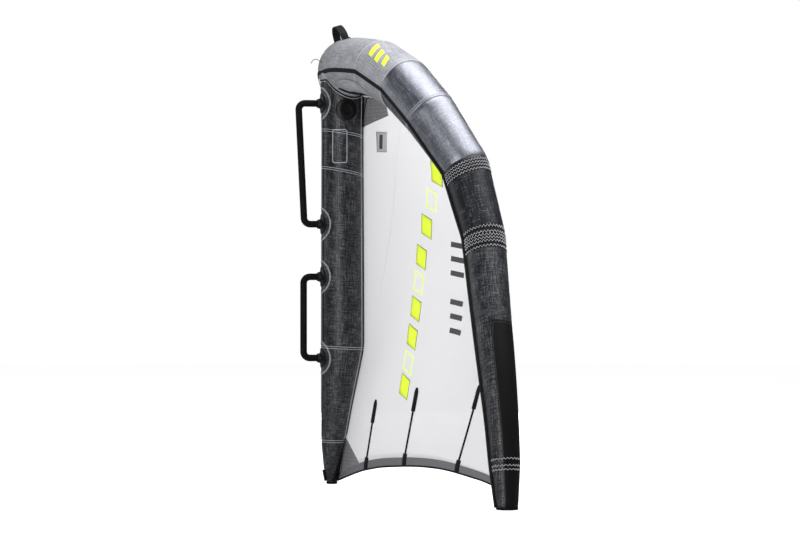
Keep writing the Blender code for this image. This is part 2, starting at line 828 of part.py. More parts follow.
def valve_place():
    height = STAND_HEIGHT - VALVE_DROP
    axis, radius = strut_at(height)
    turn = Matrix.Rotation(math.radians(90), 4, "X")
    return Matrix.Translation((axis, -radius, height)) @ turn


BORE_RADIUS = BOSS_RADIUS - BOSS_WALL
INSERT_RADIUS = BORE_RADIUS - GAP
LIP_BOTTOM = BOSS_TOP + GAP
LIP_TOP = LIP_BOTTOM + LIP_THICKNESS
WEB_BOTTOM = -(WEB_TOP_DEPTH + WEB_THICKNESS)
LIP_RADIUS = INSERT_RADIUS + LIP_OVERHANG
CAP_INNER = LIP_RADIUS + GAP
CAP_RADIUS = CAP_INNER + CAP_SKIRT_WALL
CAP_UNDER = LIP_TOP + GAP
CAP_TOP = CAP_UNDER + CAP_PLATE
HINGE_RADIUS = CAP_RADIUS + CAP_TAB_LENGTH
HINGE_HEIGHT = LIP_BOTTOM + CAP_TAB_THICKNESS / 2


def make_valve_base(saddle, strut_skin):
    """A saddle flange with a boss; its flats, not its corners, face up."""
    place = valve_place()
    turn = place @ Matrix.Rotation(math.pi / TURN_STEPS, 4, "Z")
    out = place.to_3x3() @ Vector((0, 0, 1))
    centre = place.translation
    deep = FLANGE_RADIUS / 2
    bm = bmesh.new()
    bmesh.ops.create_cone(bm, cap_ends=True, segments=TURN_STEPS, radius1=FLANGE_RADIUS,
                          radius2=FLANGE_RADIUS, depth=2 * deep, matrix=turn)
    base = object_from_bmesh("valve_base", bm, BLACK_PLASTIC)
    cut(base, saddle, "INTERSECT")
    cut(base, strut_skin)
    boss = bmesh.new()
    middle = (BOSS_TOP - BOSS_DEPTH) / 2
    bmesh.ops.create_cone(boss, cap_ends=True, segments=TURN_STEPS, radius1=BOSS_RADIUS,
                          radius2=BOSS_RADIUS, depth=BOSS_TOP + BOSS_DEPTH,
                          matrix=turn @ Matrix.Translation((0, 0, middle)))
    cut(base, object_from_bmesh("valve_boss", boss, collection=CUTTERS), "UNION")
    ear_top = HINGE_HEIGHT - HINGE_EAR_DROP
    buried = FLANGE_THICKNESS / 2
    ear = box_bmesh(Vector((-CAP_TAB_WIDTH / 2, -HINGE_RADIUS - HINGE_EAR_DROP / 2, buried)),
                    Vector((CAP_TAB_WIDTH / 2, -CAP_RADIUS, ear_top)))
    bmesh.ops.transform(ear, matrix=place, verts=ear.verts)
    cut(base, object_from_bmesh("valve_ear", ear, collection=CUTTERS), "UNION")
    cut(base, rod_cutter("valve_bore", BORE_RADIUS, centre - out * (BOSS_DEPTH + OVERRUN),
                         centre + out * (BOSS_TOP + OVERRUN)))
    return rod_cutter("valve_hole", BOSS_RADIUS + GAP, centre - out * deep, centre + out * deep)


def make_valve_insert():
    place = valve_place()
    inner = INSERT_RADIUS - INSERT_WALL
    guide = STEM_RADIUS + GAP
    insert = turned("valve_insert", (
        (inner, LIP_TOP), (LIP_RADIUS, LIP_TOP), (LIP_RADIUS, LIP_BOTTOM),
        (INSERT_RADIUS, LIP_BOTTOM), (INSERT_RADIUS, -INSERT_DEPTH), (inner, -INSERT_DEPTH),
        (inner, WEB_BOTTOM), (guide, WEB_BOTTOM), (guide, -WEB_TOP_DEPTH),
        (inner, -WEB_TOP_DEPTH)), BLACK_PLASTIC, place)
    ring = (inner + HEAD_RADIUS) / 2
    for number in range(VENT_COUNT):
        angle = math.tau * number / VENT_COUNT
        spot = Vector((ring * math.cos(angle), ring * math.sin(angle), 0))
        start = place @ (spot + Vector((0, 0, WEB_BOTTOM - WEB_THICKNESS)))
        end = place @ (spot + Vector((0, 0, WEB_THICKNESS - WEB_TOP_DEPTH)))
        cut(insert, rod_cutter(f"valve_vent_{number}", VENT_RADIUS, start, end, VENT_STEPS))


def make_valve_plunger():
    seal_top = WEB_BOTTOM - GAP
    seal_bottom = seal_top - SEAL_THICKNESS
    neck = HEAD_TOP - HEAD_THICKNESS
    turned("valve_plunger", (
        (0, HEAD_TOP), (HEAD_RADIUS, HEAD_TOP), (HEAD_RADIUS, neck), (STEM_RADIUS, neck),
        (STEM_RADIUS, seal_top), (SEAL_RADIUS, seal_top), (SEAL_RADIUS, seal_bottom),
        (0, seal_bottom)), BLACK_RUBBER, valve_place())


def make_valve_spring():
    """Round wire between the web and the plunger's head."""
    place = valve_place()
    radius = STEM_RADIUS + GAP + SPRING_WIRE
    low = -WEB_TOP_DEPTH + GAP + SPRING_WIRE / 2
    high = HEAD_TOP - HEAD_THICKNESS - GAP - SPRING_WIRE / 2
    steps = 10 * SPRING_TURNS
    points = []
    for step in range(steps + 1):
        angle = math.tau * SPRING_TURNS * step / steps
        spot = Vector((radius * math.cos(angle), radius * math.sin(angle),
                       low + (high - low) * step / steps))
        points.append(place @ spot)
    bent_tube("valve_spring", points, SPRING_WIRE / 2, STEEL, 1)


def make_valve_cap():
    place = valve_place()
    cap = turned("valve_cap", (
        (0, CAP_TOP), (CAP_RADIUS, CAP_TOP), (CAP_RADIUS, LIP_BOTTOM),
        (CAP_INNER, LIP_BOTTOM), (CAP_INNER, CAP_UNDER), (0, CAP_UNDER)), BLACK_PLASTIC, place)
    tab = box_bmesh(Vector((-CAP_TAB_WIDTH / 2, -HINGE_RADIUS, LIP_BOTTOM)),
                    Vector((CAP_TAB_WIDTH / 2, -CAP_INNER - CAP_SKIRT_WALL / 2,
                            LIP_BOTTOM + CAP_TAB_THICKNESS)))
    bmesh.ops.transform(tab, matrix=place, verts=tab.verts)
    cut(cap, object_from_bmesh("valve_cap_tab", tab, collection=CUTTERS), "UNION")


# Hose and clip between the bladders

def hose_axis():
    return LE[0].centre.x, -HOSE_OFFSET


def make_hose(le_centre, le_bladder, strut_bladder):
    x, y = hose_axis()
    low = bladder_top() + GAP
    high = STAND_HEIGHT - LE_RADIUS / 2
    bm = bmesh.new()
    place = Matrix.Translation((x, y, (low + high) / 2))
    bmesh.ops.create_cone(bm, cap_ends=True, segments=TURN_STEPS, radius1=HOSE_RADIUS,
                          radius2=HOSE_RADIUS, depth=high - low, matrix=place)
    hose = object_from_bmesh("transfer_hose", bm, BLACK_RUBBER)
    cut(hose, loft("le_bladder_seat", both_sides(1, -CLOTH_WALL), collection=CUTTERS))
    bore = rod_cutter("hose_bore", HOSE_BORE, Vector((x, y, low - OVERRUN)),
                      Vector((x, y, high)))
    port = rod_cutter("hose_port", HOSE_RADIUS + GAP, Vector((x, y, low)), Vector((x, y, high)))
    cut(hose, bore)
    cut(le_bladder, bore)
    cut(strut_bladder, bore)
    cut(le_centre, port)


def clip_sizes():
    """The clip's middle and the place of its pin."""
    x, y = hose_axis()
    middle = Vector((x, y, bladder_top() + CLIP_MARGIN + CLIP_PLATE + GAP + CLIP_HEIGHT / 2))
    pin = Vector((x + HOSE_RADIUS + GAP + CLIP_THICKNESS / 2, y + CLIP_LENGTH / 2, middle.z))
    return middle, pin


def make_hose_clip():
    middle, pin = clip_sizes()
    eye = CLIP_PIN_RADIUS + GAP + CLIP_EYE_WALL
    half = CLIP_HEIGHT / 2
    inner = HOSE_RADIUS + GAP
    floor = middle.z - half - GAP - CLIP_PLATE
    bar = box_bmesh(Vector((middle.x - inner - CLIP_THICKNESS, middle.y - CLIP_LENGTH / 2, floor)),
                    Vector((middle.x - inner, pin.y + eye, middle.z + half)))
    clip = object_from_bmesh("hose_clip", bar, BLACK_PLASTIC)
    plate = box_bmesh(Vector((middle.x - inner - CLIP_THICKNESS / 2, middle.y + inner, floor)),
                      Vector((pin.x + eye, pin.y + eye, floor + CLIP_PLATE)))
    cut(clip, object_from_bmesh("clip_plate", plate, collection=CUTTERS), "UNION")
    post = rod_cutter("clip_post", CLIP_PIN_RADIUS * math.cos(math.pi / TURN_STEPS),
                      Vector((pin.x, pin.y, floor + CLIP_PLATE / 2)),
                      Vector((pin.x, pin.y, middle.z + half)))
    cut(clip, post, "UNION")
    arm = box_bmesh(Vector((middle.x + inner, middle.y - CLIP_LENGTH / 2, middle.z - half)),
                    Vector((middle.x + inner + CLIP_THICKNESS, pin.y, middle.z + half)))
    lever = object_from_bmesh("hose_clip_lever", arm, BLACK_PLASTIC)
    cut(lever, rod_cutter("clip_eye", eye, Vector((pin.x, pin.y, middle.z - half)),
                          Vector((pin.x, pin.y, middle.z + half))), "UNION")
    cut(lever, rod_cutter("clip_eye_bore", CLIP_PIN_RADIUS + GAP,
                          Vector((pin.x, pin.y, middle.z - half - OVERRUN)),
                          Vector((pin.x, pin.y, middle.z + half + OVERRUN))))


# Webbing and line on the leading edge

def make_le_handle():
    """A webbing loop over the front of the leading edge, sewn at both feet."""
    angle = math.pi + LOOP_LEAN
    out = Vector((-math.sin(LOOP_LEAN), 0, math.cos(LOOP_LEAN)))
    across = Vector((math.cos(LOOP_LEAN), 0, math.sin(LOOP_LEAN)))
    first = le_point(1, angle, GAP, RIGHT).y
    inner = LOOP_HALF_LENGTH - LOOP_FOOT
    heights = [(LOOP_HALF_LENGTH, 0), (inner, 0)]
    for step in range(1, LOOP_STEPS + 1):
        turn = math.pi / 2 * step / LOOP_STEPS
        heights.append((inner * math.cos(turn), LOOP_RISE * math.sin(turn)))
    half = []
    for span, rise in heights:
        seat = le_point(min(span / first, 1), angle, GAP, RIGHT)
        half.append(Vector((seat.x, span, seat.z)) + out * rise)
    path = [Vector((p.x, -p.y, p.z)) for p in half] + half[-2::-1]
    sections = []
    for index, point in enumerate(path):
        before = path[max(index - 1, 0)]
        after = path[min(index + 1, len(path) - 1)]
        run = (after - before).normalized()
        side = across * LOOP_WIDTH / 2
        rise = across.cross(run).normalized() * LOOP_THICKNESS
        if rise.dot(out) < 0:
            rise.negate()
        sections.append([point - side, point + side, point + side + rise, point - side + rise])
    loft("le_webbing_handle", sections, BLACK_WEB)


def make_leash_line():
    root = le_point(0, LEASH_ANGLE, GAP, RIGHT)
    points = [Vector((root.x - out, 0, root.z + rise)) for out, rise in LEASH_POINTS]
    bent_tube("leash_line", points, LEASH_RADIUS, LINE, 2)


def centre_on_floor():
    """Put the origin under the middle of the wing, without the loose line."""
    bpy.context.view_layer.update()
    depsgraph = bpy.context.evaluated_depsgraph_get()
    xs = []
    for item in WING.objects:
        if item.type in ("MESH", "CURVE") and item.name != "leash_line":
            shape = item.evaluated_get(depsgraph)
            mesh = shape.to_mesh()
            xs += [(item.matrix_world @ vertex.co).x for vertex in mesh.vertices]
            shape.to_mesh_clear()
    FRAME.location.x = -(min(xs) + max(xs)) / 2


def build():
    le_centre = make_leading_edge()
    le_bladder = make_le_bladder()
    make_tip_caps()
    make_welts()
    make_scuff_pads()
    envelope = loft("le_envelope", both_sides(LE_SEAMS[0], GAP), collection=CUTTERS)
    panels = make_strut(envelope)
    strut_bladder = make_strut_bladder()
    make_tail_cap()
    make_canopy()
    make_battens()
    strut_skin = strut_solid("strut_skin", GAP)
    base_saddle = strut_solid("base_saddle", GAP + BASE_THICKNESS)
    make_handle("front_handle", FRONT_ARM_SHARES, FRONT_BAR_REACHES)
    make_handle("rear_handle", REAR_ARM_SHARES, REAR_BAR_REACHES)
    for end, shares in (("front", FRONT_ARM_SHARES), ("rear", REAR_ARM_SHARES)):
        for level, share in zip(("upper", "lower"), shares):
            make_handle_base(f"{end}_handle_base_{level}", share, base_saddle, strut_skin)
    hole = make_valve_base(strut_solid("flange_saddle", GAP + FLANGE_THICKNESS), strut_skin)
    cut(panels[0], hole)
    cut(strut_bladder, hole)
    make_valve_insert()
    make_valve_plunger()
    make_valve_spring()
    make_valve_cap()
    make_hose(le_centre, le_bladder, strut_bladder)
    make_hose_clip()
    make_le_handle()
    make_leash_line()
    centre_on_floor()


build()
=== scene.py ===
"""The looks of an inflatable hand-held wing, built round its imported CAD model.

Laid out as a Blender add-on and run as a script. Metres, +Z up. The wing
stands on its strut's end and its two tips, and the camera looks along its span.
"""
import math
from collections import namedtuple

import bmesh
import bpy
from bpy.props import FloatProperty, FloatVectorProperty, IntProperty, PointerProperty
from mathutils import Matrix, Vector


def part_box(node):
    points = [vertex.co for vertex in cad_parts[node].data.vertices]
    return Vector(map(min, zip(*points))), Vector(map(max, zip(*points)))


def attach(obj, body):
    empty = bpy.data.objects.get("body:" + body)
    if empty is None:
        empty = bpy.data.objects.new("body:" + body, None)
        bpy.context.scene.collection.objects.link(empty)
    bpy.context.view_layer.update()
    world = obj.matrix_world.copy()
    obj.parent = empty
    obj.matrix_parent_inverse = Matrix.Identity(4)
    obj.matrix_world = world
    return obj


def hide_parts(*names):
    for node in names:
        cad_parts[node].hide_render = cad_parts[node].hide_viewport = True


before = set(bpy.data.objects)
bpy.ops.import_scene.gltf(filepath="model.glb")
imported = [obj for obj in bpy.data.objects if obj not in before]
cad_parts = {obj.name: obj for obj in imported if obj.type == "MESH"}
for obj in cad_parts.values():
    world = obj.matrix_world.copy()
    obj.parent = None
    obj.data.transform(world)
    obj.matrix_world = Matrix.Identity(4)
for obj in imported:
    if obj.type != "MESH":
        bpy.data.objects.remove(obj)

bl_info = {
    "name": "Foil Wing Looks",
    "version": (1, 0, 0),
    "blender": (4, 5, 0),
    "location": "View3D > Sidebar > Foil Wing",
    "description": "Dresses the packed model of an inflatable wing",
    "category": "Object",
}

MM = 0.001
LEFT, RIGHT = -1, 1
SIDE_NAMES = {LEFT: "left", RIGHT: "right"}
X_AXIS = Vector((1, 0, 0))
UP = Vector((0, 0, 1))
CLOTH_WALL = 1.2 * MM
FILM_WALL = 0.8 * MM
GAP = 0.3 * MM               # kept between pieces that touch

# Leading edge: rise, span, drop and radius as shares of the sizes below
LE_STATION_SHARES = (
    (0.066, 0.000, 0.0000, 0.968), (0.102, 0.088, 0.0044, 1.000),
    (0.242, 0.243, 0.0196, 0.992), (0.406, 0.382, 0.0637, 0.952),
    (0.587, 0.500, 0.1366, 0.904), (0.885, 0.592, 0.2563, 0.800),
    (1.000, 0.688, 0.4125, 0.688), (0.966, 0.823, 0.6128, 0.608),
    (0.952, 0.887, 0.7048, 0.570), (0.946, 0.948, 0.8147, 0.506),
    (0.942, 0.980, 0.9056, 0.460), (0.939, 1.000, 0.9952, 0.339),
)
LE_SEAMS = (2, 3, 4, 5, 6, 10, 11)    # stations where its panels are sewn
TIP_CAP_THICKNESS = 8 * MM
CANOPY_ANGLE = math.tau * 4 / 28    # where the cloth starts on the casing
WELT_CORNER = 0.5                   # how far its bends reach, in stations
WELT_DEGREES = tuple(enumerate((-76, -82, -88, -89, -90, -84, -81, -80, -80, -80, -80, -81)))
WELT_HEIGHTS = tuple(enumerate((3, 3, 3, 3, 4, 9, 11, 11, 11, 11, 11, 9)))   # mm
PAD_ANGLES = (math.radians(116), math.radians(205))
PAD_TOP = 7.08               # in stations, from the middle
SEAM_CORNER = 0.05           # how far a bend at a seam reaches, in stations
SOFT_CORNER = 0.45           # and a bend away from the seams
SEAM_RINGS = (0.15, 3, 6, 10, 15, 22)   # rings beside a seam, in mm from it
BLADDER_ROOM = 1 * MM        # free between a bladder and its cloth

# Strut: offset as a share of its radius, drop as a share of the height, radius
STRUT_STATION_SHARES = (
    (0.000, 0.0280, 1.000), (0.000, 0.1630, 0.959), (0.000, 0.2540, 0.964),
    (0.010, 0.6748, 0.990), (-0.117, 0.7374, 0.860), (-0.265, 0.8065, 0.721),
    (-0.392, 0.8784, 0.591), (-0.434, 0.8980, 0.556), (-0.477, 0.9622, 0.392),
    (-0.487, 0.9950, 0.249),
)
STRUT_CORNER = 0.045         # how far its bends reach, in metres
SADDLE_DROP = 0.053          # least drop from the tube's axis to the top of the skirt
SADDLE_WIDTH = 0.012         # width of the skirt in sight
STRUT_SEAM_SLANTS = ((1, 0.17), (2, 0.19), (3, 0.05), (7, 0.03))
STRUT_PANEL_SEAMS = (2, 3, 7, 9)

# Trailing edge: span and height shares of the arch between strut and tips
ARCH_RISE = 0.1235
ARCH_CORNER = 0.05           # how far its bends reach, as a share of the span
ARCH_SHARES = (
    (0.000, 0.120), (0.071, 0.336), (0.154, 0.587), (0.273, 0.798),
    (0.442, 0.951), (0.554, 1.000), (0.663, 0.984), (0.767, 0.879),
    (0.869, 0.765), (0.930, 0.644), (1.000, 0.506),
)
CANOPY_END = 10.25           # where the cloth ends on the tube, in stations
HEM_END = 10.67              # where the hem's line would meet the tube
CANOPY_LEAVE_SHARE = 0.6     # how far along the tube's tangent the cloth is straight
CAMBER_SHARE = 0.05          # depth of the curve as a share of the chord
CAMBER_FORM = 0.75           # under 1, so its deepest place is nearer the front
CAMBER_SPREAD = 0.2          # span share over which it grows from the strut's line
HEM_WIDTH = 30 * MM
HEM_BAND_ROWS = 1.2          # rows that the band covers
HEM_CORD_RADIUS = 4 * MM
MIDDLE_GAP = 0.6 * MM        # from the middle plane to each half
CANOPY_ROWS = 46             # rows from the front edge to the trailing edge
CANOPY_STEPS = 320           # places along the tube that a span is looked up in

# Battens: a patch at the foot and at the pointed head of each pocket
BATTENS = ((0.182, 0.305), (0.417, 0.335), (0.721, 0.370))   # span share, length
FOOT_LENGTH, FOOT_WIDTH = 52 * MM, 30 * MM
HEAD_LENGTH, HEAD_WIDTH, HEAD_POINT = 70 * MM, 28 * MM, 30 * MM
POCKET_WIDTH = 11 * MM
POCKET_HEIGHT, PATCH_HEIGHT = 4.2 * MM, 4.8 * MM
FORK_START, FORK_END = 0.102, 0.060          # down from the head's top
FORK_ASIDE, FORK_WIDTH, FORK_HEIGHT = 10 * MM, 8 * MM, 3.8 * MM
ROD_WIDTH, ROD_HEIGHT = 8.4 * MM, 1.8 * MM

Station = namedtuple("Station", "centre aft up radius")
Spot = namedtuple("Spot", "point forward across off")


# Colours

def linear(code):
    """An sRGB hex colour as linear red, green and blue."""
    values = [int(code[i:i + 2], 16) / 255 for i in (1, 3, 5)]
    return tuple(v / 12.92 if v <= 0.04045 else ((v + 0.055) / 1.055) ** 2.4 for v in values)


def colour(name, description, code):
    """A colour for the user to change, from an sRGB hex value."""
    return FloatVectorProperty(name=name, description=description, subtype="COLOR",
                               size=3, min=0, max=1, default=linear(code))


def length(name, description, metres):
    """A size for the user to change, in metres."""
    return FloatProperty(name=name, description=description, default=metres,
                         unit="LENGTH", subtype="DISTANCE", min=0)


class WingSizes(bpy.types.PropertyGroup):
    stand_height: length("Stand height", "Floor to the leading edge's axis at the middle",
                         1.8375)
    half_span: length("Half span", "Middle plane to the leading edge's axis at a tip", 1.360)
    tip_rise: length("Tip rise", "How far the leading edge rises on its way out", 0.392)
    le_radius: length("Leading edge radius", "Leading edge at its thickest", 0.125)
    strut_radius: length("Strut radius", "Strut at its thickest", 0.0944)
    welt_width: length("Welt width", "Piping band on the leading edge", 0.019)
    seam_dip: length("Seam dip", "How deep a seam pulls the casing in", 0.0020)
    seam_reach: length("Seam reach", "How far from a seam the casing is pulled in", 0.010)
    stitch_pitch: length("Stitch pitch", "One zig-zag of thread, drawn coarse to show", 0.0145)
    thread_radius: length("Thread radius", "Sewing thread, drawn coarse to show", 0.0008)
    grip_radius: length("Grip radius", "Foam sleeve on the bar of a rigid handle", 0.0148)
    grip_bend: length("Grip bend", "Radius of a handle's bends, at the bar's middle", 0.028)
    around: IntProperty(name="Facets round a tube", description="Faces round each tube",
                        default=72, min=24, max=160)


class WingColours(bpy.types.PropertyGroup):
    pale_cloth: colour("Pale cloth", "Casing at the middle of the leading edge", "#8b8c92")
    dark_cloth: colour("Dark cloth", "Casing of the strut and outer leading edge", "#0f1117")
    dark_thread: colour("Dark cloth's light thread", "Slubs in the dark casing", "#8a8f9b")
    # Its light yarn also lightens the leading edge's outer panels, as painted light
    denim_thread: colour("Denim cloth's light thread", "Slubs in the strut's casing", "#85878c")
    canopy: colour("Canopy", "Coated ripstop", "#eeeeef")
    hem: colour("Hem", "Band along the trailing edge", "#7e7e83")
    black: colour("Black trim", "Webbing, rubber and moulded parts", "#060607")
    thread: colour("Thread", "Sewing thread", "#dfe1e7")
    lime: colour("Lime print", "Printed bars", "#f0ff54")


def sizes():
    return bpy.context.scene.wing_sizes


def colours():
    return bpy.context.scene.wing_colours


# Materials

MATERIALS = {}


def add_node(tree, kind, inputs=(), **settings):
    """Add a node, then set or link each of its inputs."""
    made = tree.nodes.new(kind)
    for name, value in settings.items():
        setattr(made, name, value)
    for name, value in dict(inputs).items():
        if isinstance(value, bpy.types.NodeSocket):
            tree.links.new(value, made.inputs[name])
        else:
            made.inputs[name].default_value = value
    return made


def new_finish(name, base, roughness, **values):
    """A material with its shader, for one real finish."""
    made = bpy.data.materials.new(name)
    made.use_nodes = True
    tree = made.node_tree
    shader = tree.nodes["Principled BSDF"]
    shader.inputs["Base Color"].default_value = (*base, 1)
    shader.inputs["Roughness"].default_value = roughness
    for key, value in values.items():
        shader.inputs[key.replace("_", " ")].default_value = value
    MATERIALS[name] = made
    return tree, shader


def mixed(tree, factor, first, second):
    """A colour between two, by a factor."""
    made = add_node(tree, "ShaderNodeMix", {0: factor}, data_type="RGBA")
    for slot, value in ((6, first), (7, second)):
        if isinstance(value, bpy.types.NodeSocket):
            tree.links.new(value, made.inputs[slot])
        else:
            made.inputs[slot].default_value = (*value, 1)
    return made.outputs[2]


def noise(tree, vector, scales, detail=3.0):
    """Noise whose grain has these numbers per metre along each axis."""
    placed = add_node(tree, "ShaderNodeMapping", {"Vector": vector, "Scale": scales})
    return add_node(tree, "ShaderNodeTexNoise",
                    {"Vector": placed.outputs[0], "Scale": 1.0, "Detail": detail,
                     "Roughness": 0.6}).outputs[0]


def spread(tree, value, low, high, start=0.0, end=1.0):
    """A value from low to high, mapped to run from start to end."""
    return add_node(tree, "ShaderNodeMapRange",
                    {"Value": value, "From Min": low, "From Max": high,
                     "To Min": start, "To Max": end}).outputs[0]


def calc(tree, operation, first, second):
    """One step of arithmetic on two values or sockets."""
    return add_node(tree, "ShaderNodeMath", {0: first, 1: second},
                    operation=operation).outputs[0]


def bump(tree, shader, height, metres, strength=1.0):
    """Relief of a depth in metres, from a height of 0 to 1."""
    made = add_node(tree, "ShaderNodeBump",
                    {"Height": height, "Distance": metres, "Strength": strength})
    tree.links.new(made.outputs[0], shader.inputs["Normal"])


def cloth_uv(tree):
    return add_node(tree, "ShaderNodeUVMap", uv_map="cloth").outputs[0]


def object_coords(tree):
    return add_node(tree, "ShaderNodeTexCoord").outputs["Object"]


def bands(tree, uv, pitch, inputs):
    """Waves in both directions of the cloth, at a pitch in metres."""
    return [add_node(tree, "ShaderNodeTexWave",
                     {"Vector": uv, "Scale": math.tau / 20 / pitch, **inputs},
                     wave_type="BANDS", bands_direction=direction).outputs[1]
            for direction in ("X", "Y")]


def weave(tree, uv, pitch):
    """Crossing threads at a pitch in metres, as a height from 0 to 1."""
    return calc(tree, "MULTIPLY", *bands(tree, uv, pitch, {"Distortion": 0.4, "Detail": 1.0}))


SLUB_LAYERS = (   # noise scales a metre, detail, weight: yarns both ways, grain, clouds
    ((17, 190, 1), 3.0, 1.3), ((180, 20, 1), 3.0, 1.2),
    ((150, 140, 1), 2.0, 1.0), ((16, 12, 1), 5.0, 0.5),
)


def slub_cloth(name, dark, light, low, high, roughness, **values):
    """Woven polyester whose uneven yarns run both ways as light slubs.

    Real yarns are 0.4 mm apart. The weave is drawn 3.2 mm and the slubs about
    5 mm wide, to show. From low to high their sum goes from dark to light.
    """
    tree, shader = new_finish(name, dark, roughness, **values)
    uv = cloth_uv(tree)
    slubs, layers = 0.0, []
    for scales, detail, weight in SLUB_LAYERS:
        layers.append(noise(tree, uv, scales, detail))
        slubs = calc(tree, "ADD", slubs, calc(tree, "MULTIPLY", layers[-1], weight))
    amount = spread(tree, slubs, low, high)
    tree.links.new(mixed(tree, amount, dark, light), shader.inputs["Base Color"])
    rough = spread(tree, layers[2], 0.3, 0.7, roughness + 0.06, roughness - 0.06)
    tree.links.new(rough, shader.inputs["Roughness"])
    height = calc(tree, "ADD", weave(tree, uv, 3.2 * MM), calc(tree, "MULTIPLY", slubs, 1.6))
    bump(tree, shader, height, 0.35 * MM, 0.7)


def make_materials():
    """Every finish, each with what the real one is and what that gives the eye."""
    look = colours()
    # Woven polyester, light grey yarn-dyed: even, matt, with a faint sheen
    slub_cloth("pale_woven_polyester", tuple(v * 0.8 for v in look.pale_cloth),
               tuple(min(1, v * 1.9) for v in look.pale_cloth), 1.75, 2.6, 0.42,
               Specular_IOR_Level=0.5)
    # Woven polyester in two yarns, calendered: denim-like slubs and a soft shine
    slub_cloth("dark_slub_polyester", look.dark_cloth,
               tuple(v * 0.95 for v in look.dark_thread), 2.06, 2.92, 0.31,
               Specular_IOR_Level=0.3)
    # The same cloth with more of the light yarn on its face: an even denim grey on the strut
    # and the handle patches. On the leading edge's two outer panels this lighter copy is
    # painted light, where the light falls towards the tip
    slub_cloth("denim_slub_and_painted_light", look.dark_cloth,
               tuple(v * 0.8 for v in look.denim_thread), 1.90, 2.86, 0.34,
               Specular_IOR_Level=0.3)
    # Painted sheen: a copy of the same dark cloth with a lighter base and a stronger,
    # blue-white reflection, for the two panels where the top light falls; the real cloth there
    # is the dark one
    slub_cloth("dark_slub_painted_sheen", tuple(v * 1.6 for v in look.dark_cloth),
               tuple(v * 1.3 for v in look.dark_thread), 1.95, 2.72, 0.34,
               Specular_IOR_Level=1.0, IOR=1.9, Specular_Tint=(0.86, 0.88, 1.0, 1))
    make_canopy_materials(look)
    # Nylon webbing, woven black: ribs across its length. Real ribs are 1.2 mm
    # apart. They are drawn 2.4 mm, to show.
    tree, shader = new_finish("black_nylon_webbing", look.black, 0.6, Specular_IOR_Level=0.15)
    uv = cloth_uv(tree)
    bump(tree, shader, weave(tree, uv, 2.4 * MM), 0.5 * MM)
    tint = spread(tree, noise(tree, uv, (160, 160, 1)), 0.3, 0.7)
    tree.links.new(mixed(tree, tint, look.black, linear("#18181a")),
                   shader.inputs["Base Color"])
    # Chloroprene rubber on cloth, calendered with a fine grain: matt black. Real
    # grain is 0.5 mm. It is drawn 2.4 mm, to show.
    tree, shader = new_finish("black_grained_rubber", linear("#0a0a0b"), 0.62,
                              Specular_IOR_Level=0.12)
    grain = noise(tree, object_coords(tree), (420, 420, 420), 2.0)
    bump(tree, shader, grain, 0.4 * MM)
    tree.links.new(spread(tree, grain, 0.3, 0.7, 0.5, 0.72), shader.inputs["Roughness"])
    # Glass-filled nylon, injection moulded: satin black with a spark-eroded grain.
    # Real grain is 0.1 mm. It is drawn 1.1 mm, to show.
    tree, shader = new_finish("black_moulded_nylon", linear("#0b0b0c"), 0.42,
                              Specular_IOR_Level=0.2)
    grain = noise(tree, object_coords(tree), (900, 900, 900), 2.0)
    bump(tree, shader, grain, 0.15 * MM)
    tree.links.new(spread(tree, grain, 0.3, 0.7, 0.36, 0.5), shader.inputs["Roughness"])
    # EVA foam sleeve, closed cell, ground smooth: dark matt grip. Real cells are
    # 0.4 mm. They are drawn 1.4 mm, to show.
    tree, shader = new_finish("black_eva_grip", linear("#0c0c0d"), 0.72,
                              Specular_IOR_Level=0.12)
    cells = add_node(tree, "ShaderNodeTexVoronoi",
                     {"Vector": object_coords(tree), "Scale": 700.0}).outputs[0]
    bump(tree, shader, cells, 0.25 * MM)
    tree.links.new(mixed(tree, spread(tree, cells, 0.0, 0.7), linear("#101012"),
                         linear("#070708")), shader.inputs["Base Color"])
    # Thermoplastic polyurethane film, blown: milky, glossy and half clear
    tree, shader = new_finish("clear_polyurethane_film", linear("#c9ccc8"), 0.28,
                              Transmission_Weight=0.4)
    haze = noise(tree, object_coords(tree), (25, 25, 25))
    tree.links.new(spread(tree, haze, 0.3, 0.7, 0.2, 0.4), shader.inputs["Roughness"])
    # Glass-fibre rod, pultruded: long fibres under a dark resin
    tree, shader = new_finish("pultruded_glass_fibre", linear("#3a3b38"), 0.4)
    fibres = noise(tree, object_coords(tree), (600, 600, 12))
    tree.links.new(mixed(tree, fibres, linear("#2a2b29"), linear("#62645e")),
                   shader.inputs["Base Color"])
    # Stainless spring steel, drawn wire
    tree, shader = new_finish("drawn_spring_steel", linear("#b8b9bb"), 0.28, Metallic=1.0)
    drawn = noise(tree, object_coords(tree), (900, 900, 60))
    tree.links.new(spread(tree, drawn, 0.3, 0.7, 0.2, 0.38), shader.inputs["Roughness"])
    # Braided polyester line: strands that cross every 1.6 mm
    tree, shader = new_finish("braided_line", linear("#3c3d42"), 0.7)
    bump(tree, shader, weave(tree, cloth_uv(tree), 1.6 * MM), 0.4 * MM)
    strands = noise(tree, cloth_uv(tree), (500, 500, 1))
    tree.links.new(mixed(tree, strands, linear("#2c2d31"), linear("#5a5c63")),
                   shader.inputs["Base Color"])
    # Bonded polyester thread: light, with its twist as a fine change of tone
    tree, shader = new_finish("bonded_sewing_thread", look.thread, 0.55)
    twist = noise(tree, object_coords(tree), (350, 350, 350))
    tree.links.new(mixed(tree, twist, tuple(v * 0.75 for v in look.thread),
                         tuple(min(1, v * 1.2) for v in look.thread)),
                   shader.inputs["Base Color"])


